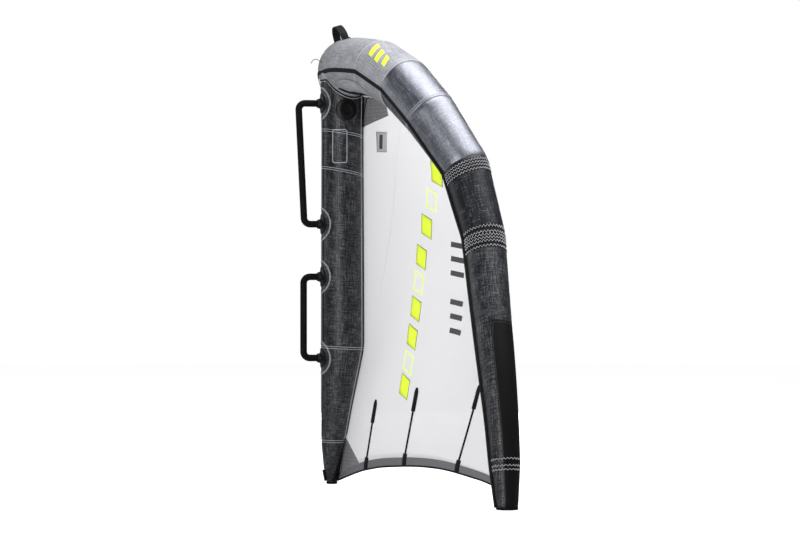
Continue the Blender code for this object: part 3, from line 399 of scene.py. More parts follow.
def make_canopy_materials(look):
    """Thin cloths that let light through: each mixes its shader with a translucent one."""
    # Ripstop polyester with a clear coat: reinforcing threads in small squares.
    # Real squares are 5 mm; they are drawn 16 mm, to show. The hem is a plain
    # woven band, whose threads are drawn 6 mm apart, to show.
    square, wide_clouds, small_clouds = 16 * MM, (5, 4, 1), (40, 14, 1)
    cloths = (   # name, colour, roughness, let through, pitch, tone of threads, alpha, clouds
        ("coated_ripstop", look.canopy, 0.42, 0.45, square, 0.965, 0.80, wide_clouds),
        ("grey_ripstop_patch", linear("#a2a2a5"), 0.5, 0.2, square, 0.42, 1.0, small_clouds),
        ("pale_ripstop_patch", linear("#e2e2e5"), 0.5, 0.6, square, 0.95, 1.0, wide_clouds),
        ("lime_screen_print", look.lime, 0.5, 0.4, square, 0.97, 0.94, wide_clouds),
        ("grey_woven_hem", look.hem, 0.62, 0.12, 6 * MM, 0.88, 1.0, wide_clouds),
        ("grey_outline_print", linear("#5d5e63"), 0.55, 0.15, square, 0.95, 1.0, wide_clouds),
    )
    for name, base, roughness, through, pitch, dip, clear, clouds in cloths:
        tree, shader = new_finish(name, base, roughness, Alpha=clear, Specular_IOR_Level=0.3)
        uv = cloth_uv(tree)
        lines = [spread(tree, wave, 0.90, 0.99)
                 for wave in bands(tree, uv, pitch, {"Distortion": 0.0})]
        grid = calc(tree, "MAXIMUM", *lines)
        shade = spread(tree, noise(tree, uv, clouds, 5.0), 0.3, 0.7, 0.0, 0.5)
        tone = mixed(tree, calc(tree, "MAXIMUM", calc(tree, "MULTIPLY", grid, 0.8), shade),
                     base, tuple(v * dip for v in base))
        tree.links.new(tone, shader.inputs["Base Color"])
        bump(tree, shader, grid, 0.15 * MM, 0.6)
        glow = add_node(tree, "ShaderNodeBsdfTranslucent", {"Color": tone})
        both = add_node(tree, "ShaderNodeMixShader",
                        {0: through, 1: shader.outputs[0], 2: glow.outputs[0]})
        output = tree.nodes["Material Output"]
        tree.links.new(both.outputs[0], output.inputs["Surface"])
        if name == "lime_screen_print":
            # Painted light: the lime print glows by a fixed emission of its own colour, so it
            # stays bright where the cloth in front of it would shade it
            shader.inputs["Emission Color"].default_value = (*look.lime, 1)
            shader.inputs["Emission Strength"].default_value = 0.4


# Making pieces

MERGE = 0.02 * MM            # points closer than this are one


def put_in_scene(name, data):
    """An object for a mesh, lamp or camera."""
    holder = bpy.data.objects.new(name, data)
    bpy.context.scene.collection.objects.link(holder)
    return holder


def finish_piece(bm, name, look, slot, replaces=(), body="wing", thickness=0.0,
                 offset=-1.0, facing=None, sharp=40):
    """Close a piece: merge it, turn its faces outwards, and put it on its body.

    An open sheet has no outside, so it is turned the way that facing points.
    """
    bmesh.ops.remove_doubles(bm, verts=bm.verts, dist=MERGE)
    bmesh.ops.recalc_face_normals(bm, faces=bm.faces)
    if facing is not None:
        bm.normal_update()
        if sum(face.normal.dot(facing) * face.calc_area() for face in bm.faces) < 0:
            bmesh.ops.reverse_faces(bm, faces=bm.faces)
    mesh = bpy.data.meshes.new(name)
    bm.to_mesh(mesh)
    bm.free()
    mesh.shade_smooth()
    mesh.set_sharp_from_angle(angle=math.radians(sharp))
    mesh.materials.append(MATERIALS[look])
    piece = put_in_scene(name, mesh)
    if thickness:
        wall = piece.modifiers.new("wall", "SOLIDIFY")
        wall.thickness = thickness
        wall.offset = offset
    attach(piece, body)
    if replaces:
        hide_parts(*replaces)
    return piece


def bent_grid(bm, alongs, acrosses, place, measure):
    """Bend a grid so that its points lie at place(along, across)."""
    uv = bm.loops.layers.uv.get("cloth")
    if uv is None:
        uv = bm.loops.layers.uv.new("cloth")
    columns, rows = len(alongs) - 1, len(acrosses) - 1
    made = bmesh.ops.create_grid(bm, x_segments=columns, y_segments=rows, size=1)
    spots = {}
    for vert in made["verts"]:
        along = alongs[round((vert.co.x + 1) / 2 * columns)]
        across = acrosses[round((vert.co.y + 1) / 2 * rows)]
        spots[vert] = (along, across)
    faces = {face for vert in made["verts"] for face in vert.link_faces}
    for face in faces:
        for loop in face.loops:
            loop[uv].uv = measure(*spots[loop.vert])
    for vert, spot in spots.items():
        vert.co = place(*spot)


def grid_piece(name, alongs, acrosses, place, measure, look, slot, capped=False, **options):
    """A piece of one bent grid, with its open ends filled where it is capped."""
    bm = bmesh.new()
    bent_grid(bm, alongs, acrosses, place, measure)
    if capped:
        close_ends(bm)
    return finish_piece(bm, name, look, slot, **options)


def close_ends(bm):
    """Fill every open loop of edges."""
    bmesh.ops.remove_doubles(bm, verts=bm.verts, dist=MERGE)
    edges = [edge for edge in bm.edges if edge.is_boundary]
    bmesh.ops.holes_fill(bm, edges=edges, sides=0)


def join_into(bm, part):
    """Move one bmesh into another."""
    mesh = bpy.data.meshes.new("part")
    part.to_mesh(mesh)
    part.free()
    bm.from_mesh(mesh)
    bpy.data.meshes.remove(mesh)


def steps(start, end, count):
    """Even steps from start to end, both of them included."""
    return [start + (end - start) * i / count for i in range(count + 1)]


def rope(bm, path, radius, sides=6, closed=False, flat=1.0, wide=None):
    """Sweep a round or flattened section along a path of points."""
    points = [Vector(p) for p in path]
    run = len(points)
    distances = [0.0]
    for before, after in zip(points, points[1:]):
        distances.append(distances[-1] + (after - before).length)
    frames = []
    normal = None
    for index, point in enumerate(points):
        before = points[index - 1] if index or closed else point
        after = points[(index + 1) % run] if index < run - 1 or closed else point
        tangent = (after - before).normalized()
        if wide is not None:
            normal = wide(index)
        elif normal is None:
            normal = tangent.orthogonal()
        normal = (normal - tangent * normal.dot(tangent)).normalized()
        frames.append((point, normal, tangent.cross(normal)))
    alongs = list(range(run)) + ([run] if closed else [])

    def place(index, turn):
        point, normal, other = frames[index % run]
        return (point + normal * radius * flat * math.cos(turn)
                + other * radius * math.sin(turn))

    def measure(index, turn):
        return distances[min(index, run - 1)], turn * radius
    bent_grid(bm, alongs, steps(0, math.tau, sides), place, measure)
    if not closed:
        close_ends(bm)


def rope_piece(name, paths, radius, look, slot, sides=6, closed=False, **options):
    """A piece of one or more ropes, such as rows of thread."""
    bm = bmesh.new()
    for path in paths:
        part = bmesh.new()
        rope(part, path, radius, sides, closed)
        join_into(bm, part)
    return finish_piece(bm, name, look, slot, **options)


def sewn_rows(name, rows, slot="dark_casing_cloth", closed=True, thicker=1.0):
    """Rows of sewing thread, as one piece."""
    return rope_piece(name, rows, thicker * sizes().thread_radius, "bonded_sewing_thread",
                      slot, sides=4, closed=closed)


def lifted(points, low, rise, place):
    """Points at place(point, lift), where each second one is lifted, as stitches are."""
    return [place(point, low + rise * (i % 2)) for i, point in enumerate(points)]


def turned_mesh(bm, profile, place):
    """Spin a profile of (radius, height) points all the way round."""
    verts = [bm.verts.new((radius, 0, height)) for radius, height in profile]
    edges = [bm.edges.new(pair) for pair in zip(verts, verts[1:])]
    bmesh.ops.spin(bm, geom=verts + edges, cent=(0, 0, 0), axis=(0, 0, 1),
                   angle=math.tau, steps=64, use_merge=True, use_duplicate=False)
    bmesh.ops.remove_doubles(bm, verts=bm.verts, dist=MERGE)
    bmesh.ops.transform(bm, matrix=place, verts=bm.verts)


def turned_piece(name, profile, place, look, slot, **options):
    """A piece turned round one axis."""
    bm = bmesh.new()
    turned_mesh(bm, profile, place)
    return finish_piece(bm, name, look, slot, **options)


def rounded_block(place, centre, size):
    """A block in a frame, with its edges rounded."""
    bm = bmesh.new()
    bmesh.ops.create_cube(bm, size=1, matrix=place @ Matrix.Translation(centre)
                          @ Matrix.Diagonal((*size, 1)))
    bmesh.ops.bevel(bm, geom=bm.edges[:], offset=0.8 * MM, affect="EDGES", segments=2,
                    profile=0.5, material=-1)
    return bm


def rounded_profile(points, radius, parts=4):
    """A profile whose inner corners are rounded off."""
    spots = [Vector(p) for p in points]
    made = [spots[0]]
    for before, corner, after in zip(spots, spots[1:], spots[2:]):
        reach = min(radius, (before - corner).length / 2.1, (after - corner).length / 2.1)
        first = corner + (before - corner).normalized() * reach
        last = corner + (after - corner).normalized() * reach
        for share in steps(0, 1, parts):
            made.append(first.lerp(corner, share).lerp(corner.lerp(last, share), share))
    made.append(spots[-1])
    return [tuple(p) for p in made]


def rounded_path(corners, radius, count=10):
    """A path whose inner corners are arcs of one radius, as a bent tube's are."""
    points = [corners[0]]
    for before, corner, after in zip(corners, corners[1:], corners[2:]):
        incoming = (before - corner).normalized()
        outgoing = (after - corner).normalized()
        half = incoming.angle(outgoing) / 2
        reach = radius / math.tan(half)
        centre = corner + (incoming + outgoing).normalized() * radius / math.sin(half)
        start = corner + incoming * reach - centre
        end = corner + outgoing * reach - centre
        for share in steps(0, 1, count):
            points.append(centre + start.slerp(end, share).normalized() * radius)
    points.append(corners[-1])
    return points


# The wing's forms

def rounded_table(rows, at, reach):
    """Read a table of (place, value), with its corners rounded off."""
    index = 0
    while index < len(rows) - 2 and at > rows[index + 1][0]:
        index += 1
    (p0, v0), (p1, v1) = rows[index], rows[index + 1]
    value = v0 + (v1 - v0) * ((at - p0) / (p1 - p0))
    for knot in (index, index + 1):
        if 0 < knot < len(rows) - 1:
            here, before, after = rows[knot], rows[knot - 1], rows[knot + 1]
            room = min(reach, (here[0] - before[0]) / 2, (after[0] - here[0]) / 2)
            near = room - abs(at - here[0])
            if near > 0:
                turn = ((after[1] - here[1]) / (after[0] - here[0])
                        - (here[1] - before[1]) / (here[0] - before[0]))
                value = value + turn * (near * near / (4 * room))
    return value


def find_stations():
    """Centres, frames and radii for y >= 0, from the middle to the tip."""
    size = sizes()
    low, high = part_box("tip_cap_right")
    shift = (low.x + high.x) / 2 - LE_STATION_SHARES[-1][0] * size.tip_rise
    centres = [Vector((rise * size.tip_rise + shift, span * size.half_span,
                       size.stand_height * (1 - drop)))
               for rise, span, drop, _ in LE_STATION_SHARES]
    centres[-1].z = TIP_CAP_THICKNESS + GAP
    runs = [(b - a).normalized() for a, b in zip(centres, centres[1:])]
    made = []
    for index, centre in enumerate(centres):
        tangent = Vector((0, 1, 0)) if index == 0 else -UP
        if 0 < index < len(centres) - 1:
            tangent = (runs[index - 1] + runs[index]).normalized()
        up = (X_AXIS - tangent * X_AXIS.dot(tangent)).normalized()
        made.append(Station(centre, tangent.cross(up), up,
                            size.le_radius * LE_STATION_SHARES[index][3]))
    return made, shift


# Filled by start_forms, once the sizes are registered
STATIONS = []
SHIFT = []                   # one value: X of the strut's axis at its top
LAST = len(LE_STATION_SHARES) - 1


def ring_point(index, angle, extra):
    """A point round a station, or round the mirror image of one before the middle."""
    station = STATIONS[abs(index)]
    away = station.aft * math.cos(angle) + station.up * math.sin(angle)
    point = station.centre + away * (station.radius + extra)
    if index < 0:
        point.y = -point.y
    return point


def le_point(param, angle, extra=0.0, side=RIGHT):
    """A point over the casing, with the bends at the stations rounded off."""
    first = min(int(param), LAST - 1)
    point = ring_point(first, angle, extra).lerp(
        ring_point(first + 1, angle, extra), param - first)
    knot = round(param)
    if knot < LAST:
        reach = SEAM_CORNER if knot in LE_SEAMS else SOFT_CORNER
        near = reach - abs(param - knot)
        if near > 0:
            turn = (ring_point(knot + 1, angle, extra) + ring_point(knot - 1, angle, extra)
                    - ring_point(knot, angle, extra) * 2)
            point += turn * (near * near / (4 * reach))
    point.y *= side
    return point


def le_axis(param):
    """A point on the leading edge's axis, at a fractional station."""
    first = min(int(param), LAST - 1)
    return STATIONS[first].centre.lerp(STATIONS[first + 1].centre, param - first)


def run_length(index):
    """Length of the axis from a station to the next."""
    index = max(0, min(index, LAST - 1))
    return (STATIONS[index + 1].centre - STATIONS[index].centre).length


def shifted(param, distance):
    """A parameter moved along the leading edge by a distance in metres."""
    index = int(param + (1e-9 if distance > 0 else -1e-9))
    return param + distance / run_length(index)


def distance_to_seam(param):
    """How far a fractional station is from the nearest seam, in metres."""
    nearest = min(LE_SEAMS, key=lambda seam: abs(seam - param))
    return abs(nearest - param) * run_length(int(min(param, nearest)))


def casing_extra(param):
    """How a seam pulls the casing in beside it."""
    size = sizes()
    away = distance_to_seam(param) / size.seam_reach
    return -size.seam_dip * math.exp(-away * away)


def le_length_to(param):
    """Length of the axis from the middle."""
    whole = sum(run_length(i) for i in range(int(param)))
    return whole + (param - int(param)) * run_length(int(param))


def le_measure(side):
    """Lengths over the casing, as its cloth lies."""
    def measure(param, angle):
        index = min(int(param), LAST - 1)
        return side * le_length_to(param), angle * STATIONS[index].radius
    return measure


def strut_rows():
    """The strut's stations as rows of (minus height, axis X and radius)."""
    size = sizes()
    return [(-size.stand_height * (1 - drop),
             Vector((offset * size.strut_radius + SHIFT[0], radius * size.strut_radius)))
            for offset, drop, radius in STRUT_STATION_SHARES]


def strut_at(height):
    """Axis X and radius of the strut at a height over the floor."""
    value = rounded_table(strut_rows(), -height, STRUT_CORNER)
    return value.x, value.y


def strut_point(angle, height, extra=0.0):
    """A point over the strut. Angles start at the canopy's side, +X."""
    axis, radius = strut_at(height)
    return Vector((axis + (radius + extra) * math.cos(angle),
                   (radius + extra) * math.sin(angle), height))


def strut_station(index):
    """Height of one of the strut's stations."""
    return sizes().stand_height * (1 - STRUT_STATION_SHARES[index][1])


def seam_height(index, angle):
    """Height of a strut seam, which runs down towards +X."""
    slant = dict(STRUT_SEAM_SLANTS).get(index, 0.0)
    height = strut_station(index)
    return height - slant * strut_at(height)[1] * math.cos(angle)


def le_underside(x, y):
    """Height of the leading edge's lower face over a point near the middle."""
    first, second = STATIONS[0], STATIONS[1]
    share = min(abs(y) / second.centre.y, 1)
    centre = first.centre.lerp(second.centre, share)
    radius = first.radius + (second.radius - first.radius) * share
    return centre.z - math.sqrt(max(radius ** 2 - (x - centre.x) ** 2, 1e-8))


def saddle_height(angle):
    """Where the dark strut cloth ends, a little under the leading edge."""
    x, y = strut_point(angle, strut_station(0)).xy
    return min(le_underside(x, y), sizes().stand_height - SADDLE_DROP) - SADDLE_WIDTH


# Canopy forms

def leave_point(param):
    """Where the cloth, straight along the tube's tangent, is clear of it."""
    tangent = le_point(param, CANOPY_ANGLE - math.pi / 2)
    return le_point(param, CANOPY_ANGLE, GAP) + (tangent - le_axis(param)) * CANOPY_LEAVE_SHARE


def param_at_span(distance):
    """Where on the tube the cloth is this far from the middle, by halving."""
    low, high = 0.0, float(LAST)
    for _ in range(40):
        middle = (low + high) / 2
        if leave_point(middle).y < distance:
            low = middle
        else:
            high = middle
    return (low + high) / 2


def behind_strut(height):
    """X of the strut's back, where the canopy meets it."""
    axis, radius = strut_at(height)
    return axis + radius + GAP


def arch_height(share):
    """Height of the trailing edge at a share of the span."""
    return ARCH_RISE * rounded_table(ARCH_SHARES, share, ARCH_CORNER)


def canopy_column(param):
    """Points from the front edge to the trailing edge, at one place on the tube."""
    leave, reach = leave_point(param), leave_point(CANOPY_END).y
    tip, top = leave_point(HEM_END), leave_point(0.0).z
    tail = arch_height(0)
    chord = top - tail - HEM_WIDTH
    start, end_x = behind_strut(top), behind_strut(tail)
    share = leave.y / reach
    end = Vector((end_x + (tip.x - end_x) * share, share * tip.y, arch_height(share)))
    width = HEM_WIDTH / (leave - end).length
    hem = end.lerp(leave, min(width, 1 / 2))
    across = min(share / CAMBER_SPREAD, 1)
    column = [le_point(param, CANOPY_ANGLE, GAP)]
    for depth in steps(0, 1, CANOPY_ROWS - 2):
        point = leave.lerp(hem, depth)
        strut_bulge = behind_strut(top - chord * depth) - start - (end_x - start) * depth
        camber = CAMBER_SHARE * math.sin(math.pi * depth ** CAMBER_FORM)
        bulge = strut_bulge * (1 - across) + camber * chord * across
        point.x += bulge * (leave - hem).length / chord
        if point.y < sizes().strut_radius:
            point.x = max(point.x, behind_strut(point.z))
        column.append(point)
    return column + [end]


COLUMNS = {}


def cached_column(param):
    """A column that is worked out only once."""
    key = round(param, 6)
    if key not in COLUMNS:
        COLUMNS[key] = canopy_column(param)
    return COLUMNS[key]


def canopy_point(param, row, extra=0.0, side=RIGHT):
    """A point of the canopy at a fractional row, moved off it towards +X."""
    column = cached_column(param)
    first = min(int(row), len(column) - 2)
    point = column[first].lerp(column[first + 1], row - first)
    return Vector((point.x + extra, side * max(point.y, MIDDLE_GAP), point.z))


def canopy_params():
    """Places of the canopy's columns on the tube, closer together near the strut."""
    return sorted(set(steps(0, 1, 10)) | set(steps(1, CANOPY_END, 56)))


def row_at_height(param, height):
    """The row where a column passes a height."""
    column = cached_column(param)
    if height >= column[1].z:
        return 1.0
    for index, (upper, lower) in enumerate(zip(column, column[1:])):
        if index and lower.z <= height <= upper.z:
            return index + (upper.z - height) / (upper.z - lower.z)
    return float(len(column) - 1)


def canopy_measure(param, row):
    """Lengths over the cloth: its slope makes it a little wider than its span."""
    point = canopy_point(param, row)
    return point.y * 1.05, point.z


# Pieces: leading edge

def panel_params(first, last):
    """Rings between two seams, close together beside them."""
    values = set()
    for start in range(first, last):
        values |= set(steps(start, start + 1, 12))
    low = shifted(first, SEAM_RINGS[0] * MM) if first else 0.0
    high = shifted(last, -SEAM_RINGS[0] * MM)
    for distance in SEAM_RINGS:
        values.add(shifted(first, distance * MM) if first else 0.0)
        values.add(shifted(last, -distance * MM))
    return sorted(v for v in values if low - 1e-9 <= v <= high + 1e-9)


# Panels outwards from the pale one: the two after it take the painted-sheen copy of the dark
# cloth, the two outermost the lighter denim copy, which is painted light there
CASING_CLOTHS = ("pale_woven_polyester", "dark_slub_painted_sheen", "dark_slub_painted_sheen",
                 "dark_slub_polyester", "denim_slub_and_painted_light", "denim_slub_and_painted_light")


def make_casing():
    """The pale middle panel, and six more on each side of it."""
    turns = steps(0, math.tau, sizes().around)
    half = panel_params(0, LE_SEAMS[0])
    both = [-v for v in reversed(half) if v > 0] + half

    def place_centre(param, angle):
        side = LEFT if param < 0 else RIGHT
        return le_point(abs(param), angle, casing_extra(abs(param)), side)

    def measure_centre(param, angle):
        return math.copysign(le_length_to(abs(param)), param), angle * STATIONS[0].radius
    grid_piece("casing_centre", both, turns, place_centre, measure_centre,
               "pale_woven_polyester", "pale_casing_cloth",
               replaces=("le_panel_centre",), thickness=CLOTH_WALL)
    for side in (LEFT, RIGHT):
        for index, (first, last) in enumerate(zip(LE_SEAMS, LE_SEAMS[1:]), 1):
            look = CASING_CLOTHS[index - 1]
            slot = "pale_casing_cloth" if index == 1 else "dark_casing_cloth"
            grid_piece(f"casing_{index}_{SIDE_NAMES[side]}", panel_params(first, last), turns,
                       lambda p, a, s=side: le_point(p, a, casing_extra(p), s),
                       le_measure(side), look, slot,
                       replaces=(f"le_panel_{index}_{SIDE_NAMES[side]}",),
                       thickness=CLOTH_WALL)


VALVE_HOLE = 38 * MM      # radius of the hole in cloth and film, under the flange


def open_for_valve(bm):
    """Cut the round hole in the strut's near side that the valve sits in."""
    low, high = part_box("valve_base")
    middle = (low + high) / 2
    inside = [face for face in bm.faces
              if face.calc_center_median().y < 0
              and (face.calc_center_median().xz - middle.xz).length < VALVE_HOLE]
    bmesh.ops.delete(bm, geom=inside, context="FACES")


def make_bladders():
    """The air bladders, a little smaller than the tubes of cloth that hold them."""
    strut_inside = -(CLOTH_WALL + GAP + BLADDER_ROOM)
    le_inside = strut_inside - sizes().seam_dip
    half = steps(0, LAST - 0.02, 44)
    both = [-v for v in reversed(half) if v > 0] + half
    turns = steps(0, math.tau, 48)
    # The bladder ends just inside the caps of the tips
    grid_piece("le_air_bladder", both, turns,
               lambda p, a: le_point(abs(p), a, le_inside, LEFT if p < 0 else RIGHT),
               lambda p, a: (p, a), "clear_polyurethane_film", "film", capped=True,
               replaces=("le_bladder",), thickness=FILM_WALL)
    low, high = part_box("strut_bladder")
    bm = bmesh.new()
    bent_grid(bm, steps(low.z + 2 * MM, high.z, 60), turns,
              lambda h, a: strut_point(a, h, strut_inside), lambda h, a: (h, a))
    close_ends(bm)
    open_for_valve(bm)
    finish_piece(bm, "strut_air_bladder", "clear_polyurethane_film", "film",
                 replaces=("strut_bladder",), thickness=FILM_WALL)


def strip_profile(width, height):
    """A low rounded band as (across, height) points, all the way round."""
    edge, under = 0.3 * MM, 0.05 * MM
    top = [(width / 2 * math.cos(a), edge + height * math.sin(a) ** 0.6)
           for a in steps(0, math.pi, 6)[1:-1]]
    right, left = (width / 2, edge), (-width / 2, edge)
    return [right, *top, left, (-width / 2, under), (width / 2, under), right]


def make_welts():
    """Piping on the seam that faces the handles, from a flat band to a ridge."""
    width = sizes().welt_width
    count = len(strip_profile(width, MM))
    params = [shifted(0, GAP)] + panel_params(0, LAST)[1:]
    for side in (LEFT, RIGHT):
        def place(param, index, s=side):
            middle = math.radians(rounded_table(WELT_DEGREES, param, WELT_CORNER))
            high = rounded_table(WELT_HEIGHTS, param, WELT_CORNER) * MM
            across, height = strip_profile(width, high)[index]
            radius = STATIONS[min(round(param), LAST)].radius
            return le_point(param, middle + across / radius, height, s)
        grid_piece(f"welt_{SIDE_NAMES[side]}", params, list(range(count)), place,
                   lambda p, i: (le_length_to(p), i * 3 * MM),
                   "black_nylon_webbing", "webbing", capped=True,
                   replaces=(f"le_welt_{SIDE_NAMES[side]}",))


PAD_CORNER = 0.28            # share of a pad's half width that a top corner takes
PAD_CORNER_DEPTH = 0.30      # how far down the corner reaches, in stations
PAD_BORDER = (0.035, 0.965)  # shares of a pad's width where its border is sewn


def pad_place(share, turn, extra, side):
    """A point on a scuff pad, whose top corners are rounded."""
    corner = max(0.0, abs(turn * 2 - 1) - (1 - PAD_CORNER)) / PAD_CORNER
    start = PAD_TOP + PAD_CORNER_DEPTH * (1 - math.sqrt(max(0.0, 1 - corner * corner)))
    angle = PAD_ANGLES[0] + (PAD_ANGLES[1] - PAD_ANGLES[0]) * turn
    param = start + (shifted(LAST, -1 * MM) - start) * share
    return le_point(param, angle, extra, side)


def make_tips():
    """A scuff pad with its sewn border, and a cap, on each tip."""
    turns = [0.5 - 0.5 * math.cos(math.pi * t) for t in steps(0, 1, 40)]
    shares = [0.0, 0.006, 0.014, 0.024] + steps(0.04, 1, 44)
    near, far = PAD_BORDER
    border = ([(t, near) for t in steps(0.97, 0.06, 200)]
              + [(0.014, t) for t in steps(0.10, 0.90, 52)]
              + [(t, far) for t in steps(0.06, 0.97, 200)])
    for side in (LEFT, RIGHT):
        name = SIDE_NAMES[side]

        def place(share, turn, s=side):
            at_rim = share < 0.003 or min(turn, 1 - turn) < 0.004
            return pad_place(share, turn, GAP + (0.5 * MM if at_rim else 1.5 * MM), s)
        pad = grid_piece(f"scuff_pad_cover_{name}", shares, turns, place,
                         lambda s, t: (s * 0.8, t * 0.2),
                         "black_grained_rubber", "rubber",
                         replaces=(f"scuff_pad_{name}",), thickness=1.2 * MM)
        pad.modifiers["wall"].use_even_offset = False
        line = lifted(border, GAP + 1.2 * MM, 1.2 * MM,
                      lambda spot, lift, s=side: pad_place(*spot, lift, s))
        rope_piece(f"pad_border_{name}", [line], 0.7 * MM, "braided_line",
                   "rubber", sides=4)
        end = STATIONS[LAST]
        low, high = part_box(f"tip_cap_{name}")
        radius = (high.x - low.x) / 2
        profile = rounded_profile((
            (0.0, 2.2 * MM), (radius * 0.72, 2.2 * MM), (radius * 0.76, 0.0),
            (radius - 1 * MM, 0.0), (radius, 4 * MM), (radius, TIP_CAP_THICKNESS),
            (0.0, TIP_CAP_THICKNESS)), 1.6 * MM)
        turned_piece(f"tip_cap_cover_{name}", profile,
                     Matrix.Translation((end.centre.x, side * end.centre.y, 0)),
                     "black_grained_rubber", "rubber", replaces=(f"tip_cap_{name}",))


# Pieces: strut

PANEL_DIP, PANEL_DIP_REACH = 1.2 * MM, 8 * MM    # how a strut seam pulls its panels in


def make_strut():
    """Four panels from the saddle down to the tail, each between two slanting seams."""
    turns = steps(0, math.tau, sizes().around)
    uppers = [saddle_height] + [lambda a, i=i: seam_height(i, a) - GAP / 2
                                for i in STRUT_PANEL_SEAMS[:-1]]
    lowers = [lambda a, i=i: seam_height(i, a) + GAP / 2 for i in STRUT_PANEL_SEAMS]
    counts = (40, 60, 44, 20)
    for index, (upper, lower, count) in enumerate(zip(uppers, lowers, counts), 1):
        def place(share, angle, u=upper, w=lower):
            height = u(angle) + (w(angle) - u(angle)) * share
            edge = min((u(angle) - height), (height - w(angle)))
            return strut_point(angle, height,
                               -PANEL_DIP * math.exp(-(edge / PANEL_DIP_REACH) ** 2))

        def measure(share, angle, u=upper, w=lower):
            return u(0) + (w(0) - u(0)) * share, angle * sizes().strut_radius
        ease = [0.0, 0.006, 0.014, 0.03] + steps(0.05, 0.95, count) + [0.97, 0.986, 0.994, 1.0]
        bm = bmesh.new()
        bent_grid(bm, ease, turns, place, measure)
        if index == 1:
            open_for_valve(bm)
        finish_piece(bm, f"strut_casing_{index}", "denim_slub_and_painted_light",
                     "dark_casing_cloth", replaces=(f"strut_panel_{index}",),
                     thickness=CLOTH_WALL)
    make_saddle(turns)
    make_tail()


FRONT_TAPE_HEIGHT = 1.807    # of the tape under the saddle's front, at its middle
FRONT_TAPE_RISE = 10 * MM    # how much higher its ends are
FRONT_TAPE_HALF = 34         # degrees round the strut from its middle to an end


def make_saddle(turns):
    """Pale skirt between strut and leading edge, with black piping under it."""
    def place(share, angle):
        low = saddle_height(angle)
        x, y = strut_point(angle, low).xy
        high = max(le_underside(x, y) + 3 * MM, low + 4 * MM)
        return strut_point(angle, low + (high - low) * share, 0.4 * MM)
    grid_piece("saddle_skirt", steps(0, 1, 8), turns, place,
               lambda s, a: (a * sizes().strut_radius, s * 0.05),
               "pale_woven_polyester", "pale_casing_cloth", thickness=CLOTH_WALL)
    line = [strut_point(a, saddle_height(a), 0.8 * MM) for a in turns[:-1]]
    rope_piece("saddle_piping", [line], 2.4 * MM, "black_nylon_webbing", "webbing",
               sides=8, closed=True)
    path = []
    for turn in range(-FRONT_TAPE_HALF, FRONT_TAPE_HALF + 1, 4):
        height = FRONT_TAPE_HEIGHT + FRONT_TAPE_RISE * (abs(turn) / FRONT_TAPE_HALF) ** 1.5
        path.append(strut_point(math.radians(180 + turn), height, 1.5 * MM))
    bm = bmesh.new()
    rope(bm, path, 6 * MM, 10, flat=0.35,
         wide=lambda i: Vector((path[i].x - SHIFT[0], path[i].y, 0)))
    finish_piece(bm, "saddle_front_tape", "black_nylon_webbing", "webbing")


def make_tail():
    """The moulded cap on the strut's pointed end."""
    low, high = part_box("strut_tail_cap")
    radius, middle = (high.x - low.x) / 2, (low + high) / 2
    profile = rounded_profile((
        (0.0, 0.0), (radius * 0.86, 0.0), (radius, high.z * 0.5), (radius, high.z),
        (0.0, high.z)), 2 * MM)
    turned_piece("tail_cap_cover", profile, Matrix.Translation((middle.x, middle.y, 0)),
                 "black_grained_rubber", "rubber", replaces=("strut_tail_cap",))


# Pieces: canopy

def make_canopy():
    """Each half's cloth with the band and cord that hem it."""
    params = canopy_params()
    last = float(CANOPY_ROWS)
    rows = [0.0, 0.5] + [float(row) for row in range(1, CANOPY_ROWS)]
    for side in (LEFT, RIGHT):
        name = SIDE_NAMES[side]
        cloth = grid_piece(f"canopy_cloth_{name}", params, rows,
                           lambda p, r, s=side: canopy_point(p, r, 0.0, s), canopy_measure,
                           "coated_ripstop", "ripstop", replaces=(f"canopy_{name}",),
                           thickness=FILM_WALL, offset=1.0, facing=X_AXIS)
        band = grid_piece(f"hem_band_{name}", params, steps(last - HEM_BAND_ROWS, last, 5),
                          lambda p, r, s=side: canopy_point(p, r, -0.5 * MM, s),
                          canopy_measure, "grey_woven_hem", "hem_cloth",
                          replaces=(f"te_band_{name}",), thickness=2.2 * MM, offset=1.0,
                          facing=X_AXIS)
        edge = [canopy_point(p, last, 0.8 * MM, side) for p in params]
        cord = rope_piece(f"hem_cord_{name}", [edge], HEM_CORD_RADIUS,
                          "black_nylon_webbing", "webbing", sides=8)


def batten_spots(share):
    """Spots along a batten's line, by distance up from the trailing edge.

    Lines a little to each side of it give the way across.
    """
    span, aside = share * leave_point(CANOPY_END).y, 30 * MM
    lines = [canopy_column(param_at_span(span + step)) for step in (-aside, 0.0, aside)]

    def walk(column, distance):
        for lower, upper in zip(column[::-1], column[-2::-1]):
            run = upper - lower
            if distance <= run.length:
                return lower + run.normalized() * distance, run.normalized()
            distance -= run.length
        return column[0].copy(), (column[0] - column[1]).normalized()

    def spot(distance):
        (a, _), (point, forward), (b, _) = [walk(line, distance) for line in lines]
        across = (b - a) - forward * (b - a).dot(forward)
        across.normalize()
        off = across.cross(forward)
        if off.x > 0:
            off.negate()
        return Spot(point, forward, across, off)
    return spot


def ribbon(name, spot, stops, width_at, height_at, side, look, slot, away=0.0, **options):
    """A low band along a line of spots, with a rounded section."""
    flip = Vector((1, side, 1))

    def place(stop, index):
        at = spot(stop)
        across, height = strip_profile(width_at(stop), height_at(stop))[index]
        return (at.point + at.across * (across + away) + at.off * (height + 0.8 * MM)) * flip
    count = len(strip_profile(1, 1))
    return grid_piece(name, stops, list(range(count)), place, lambda s, i: (s, i * 3 * MM),
                      look, slot, capped=True, **options)


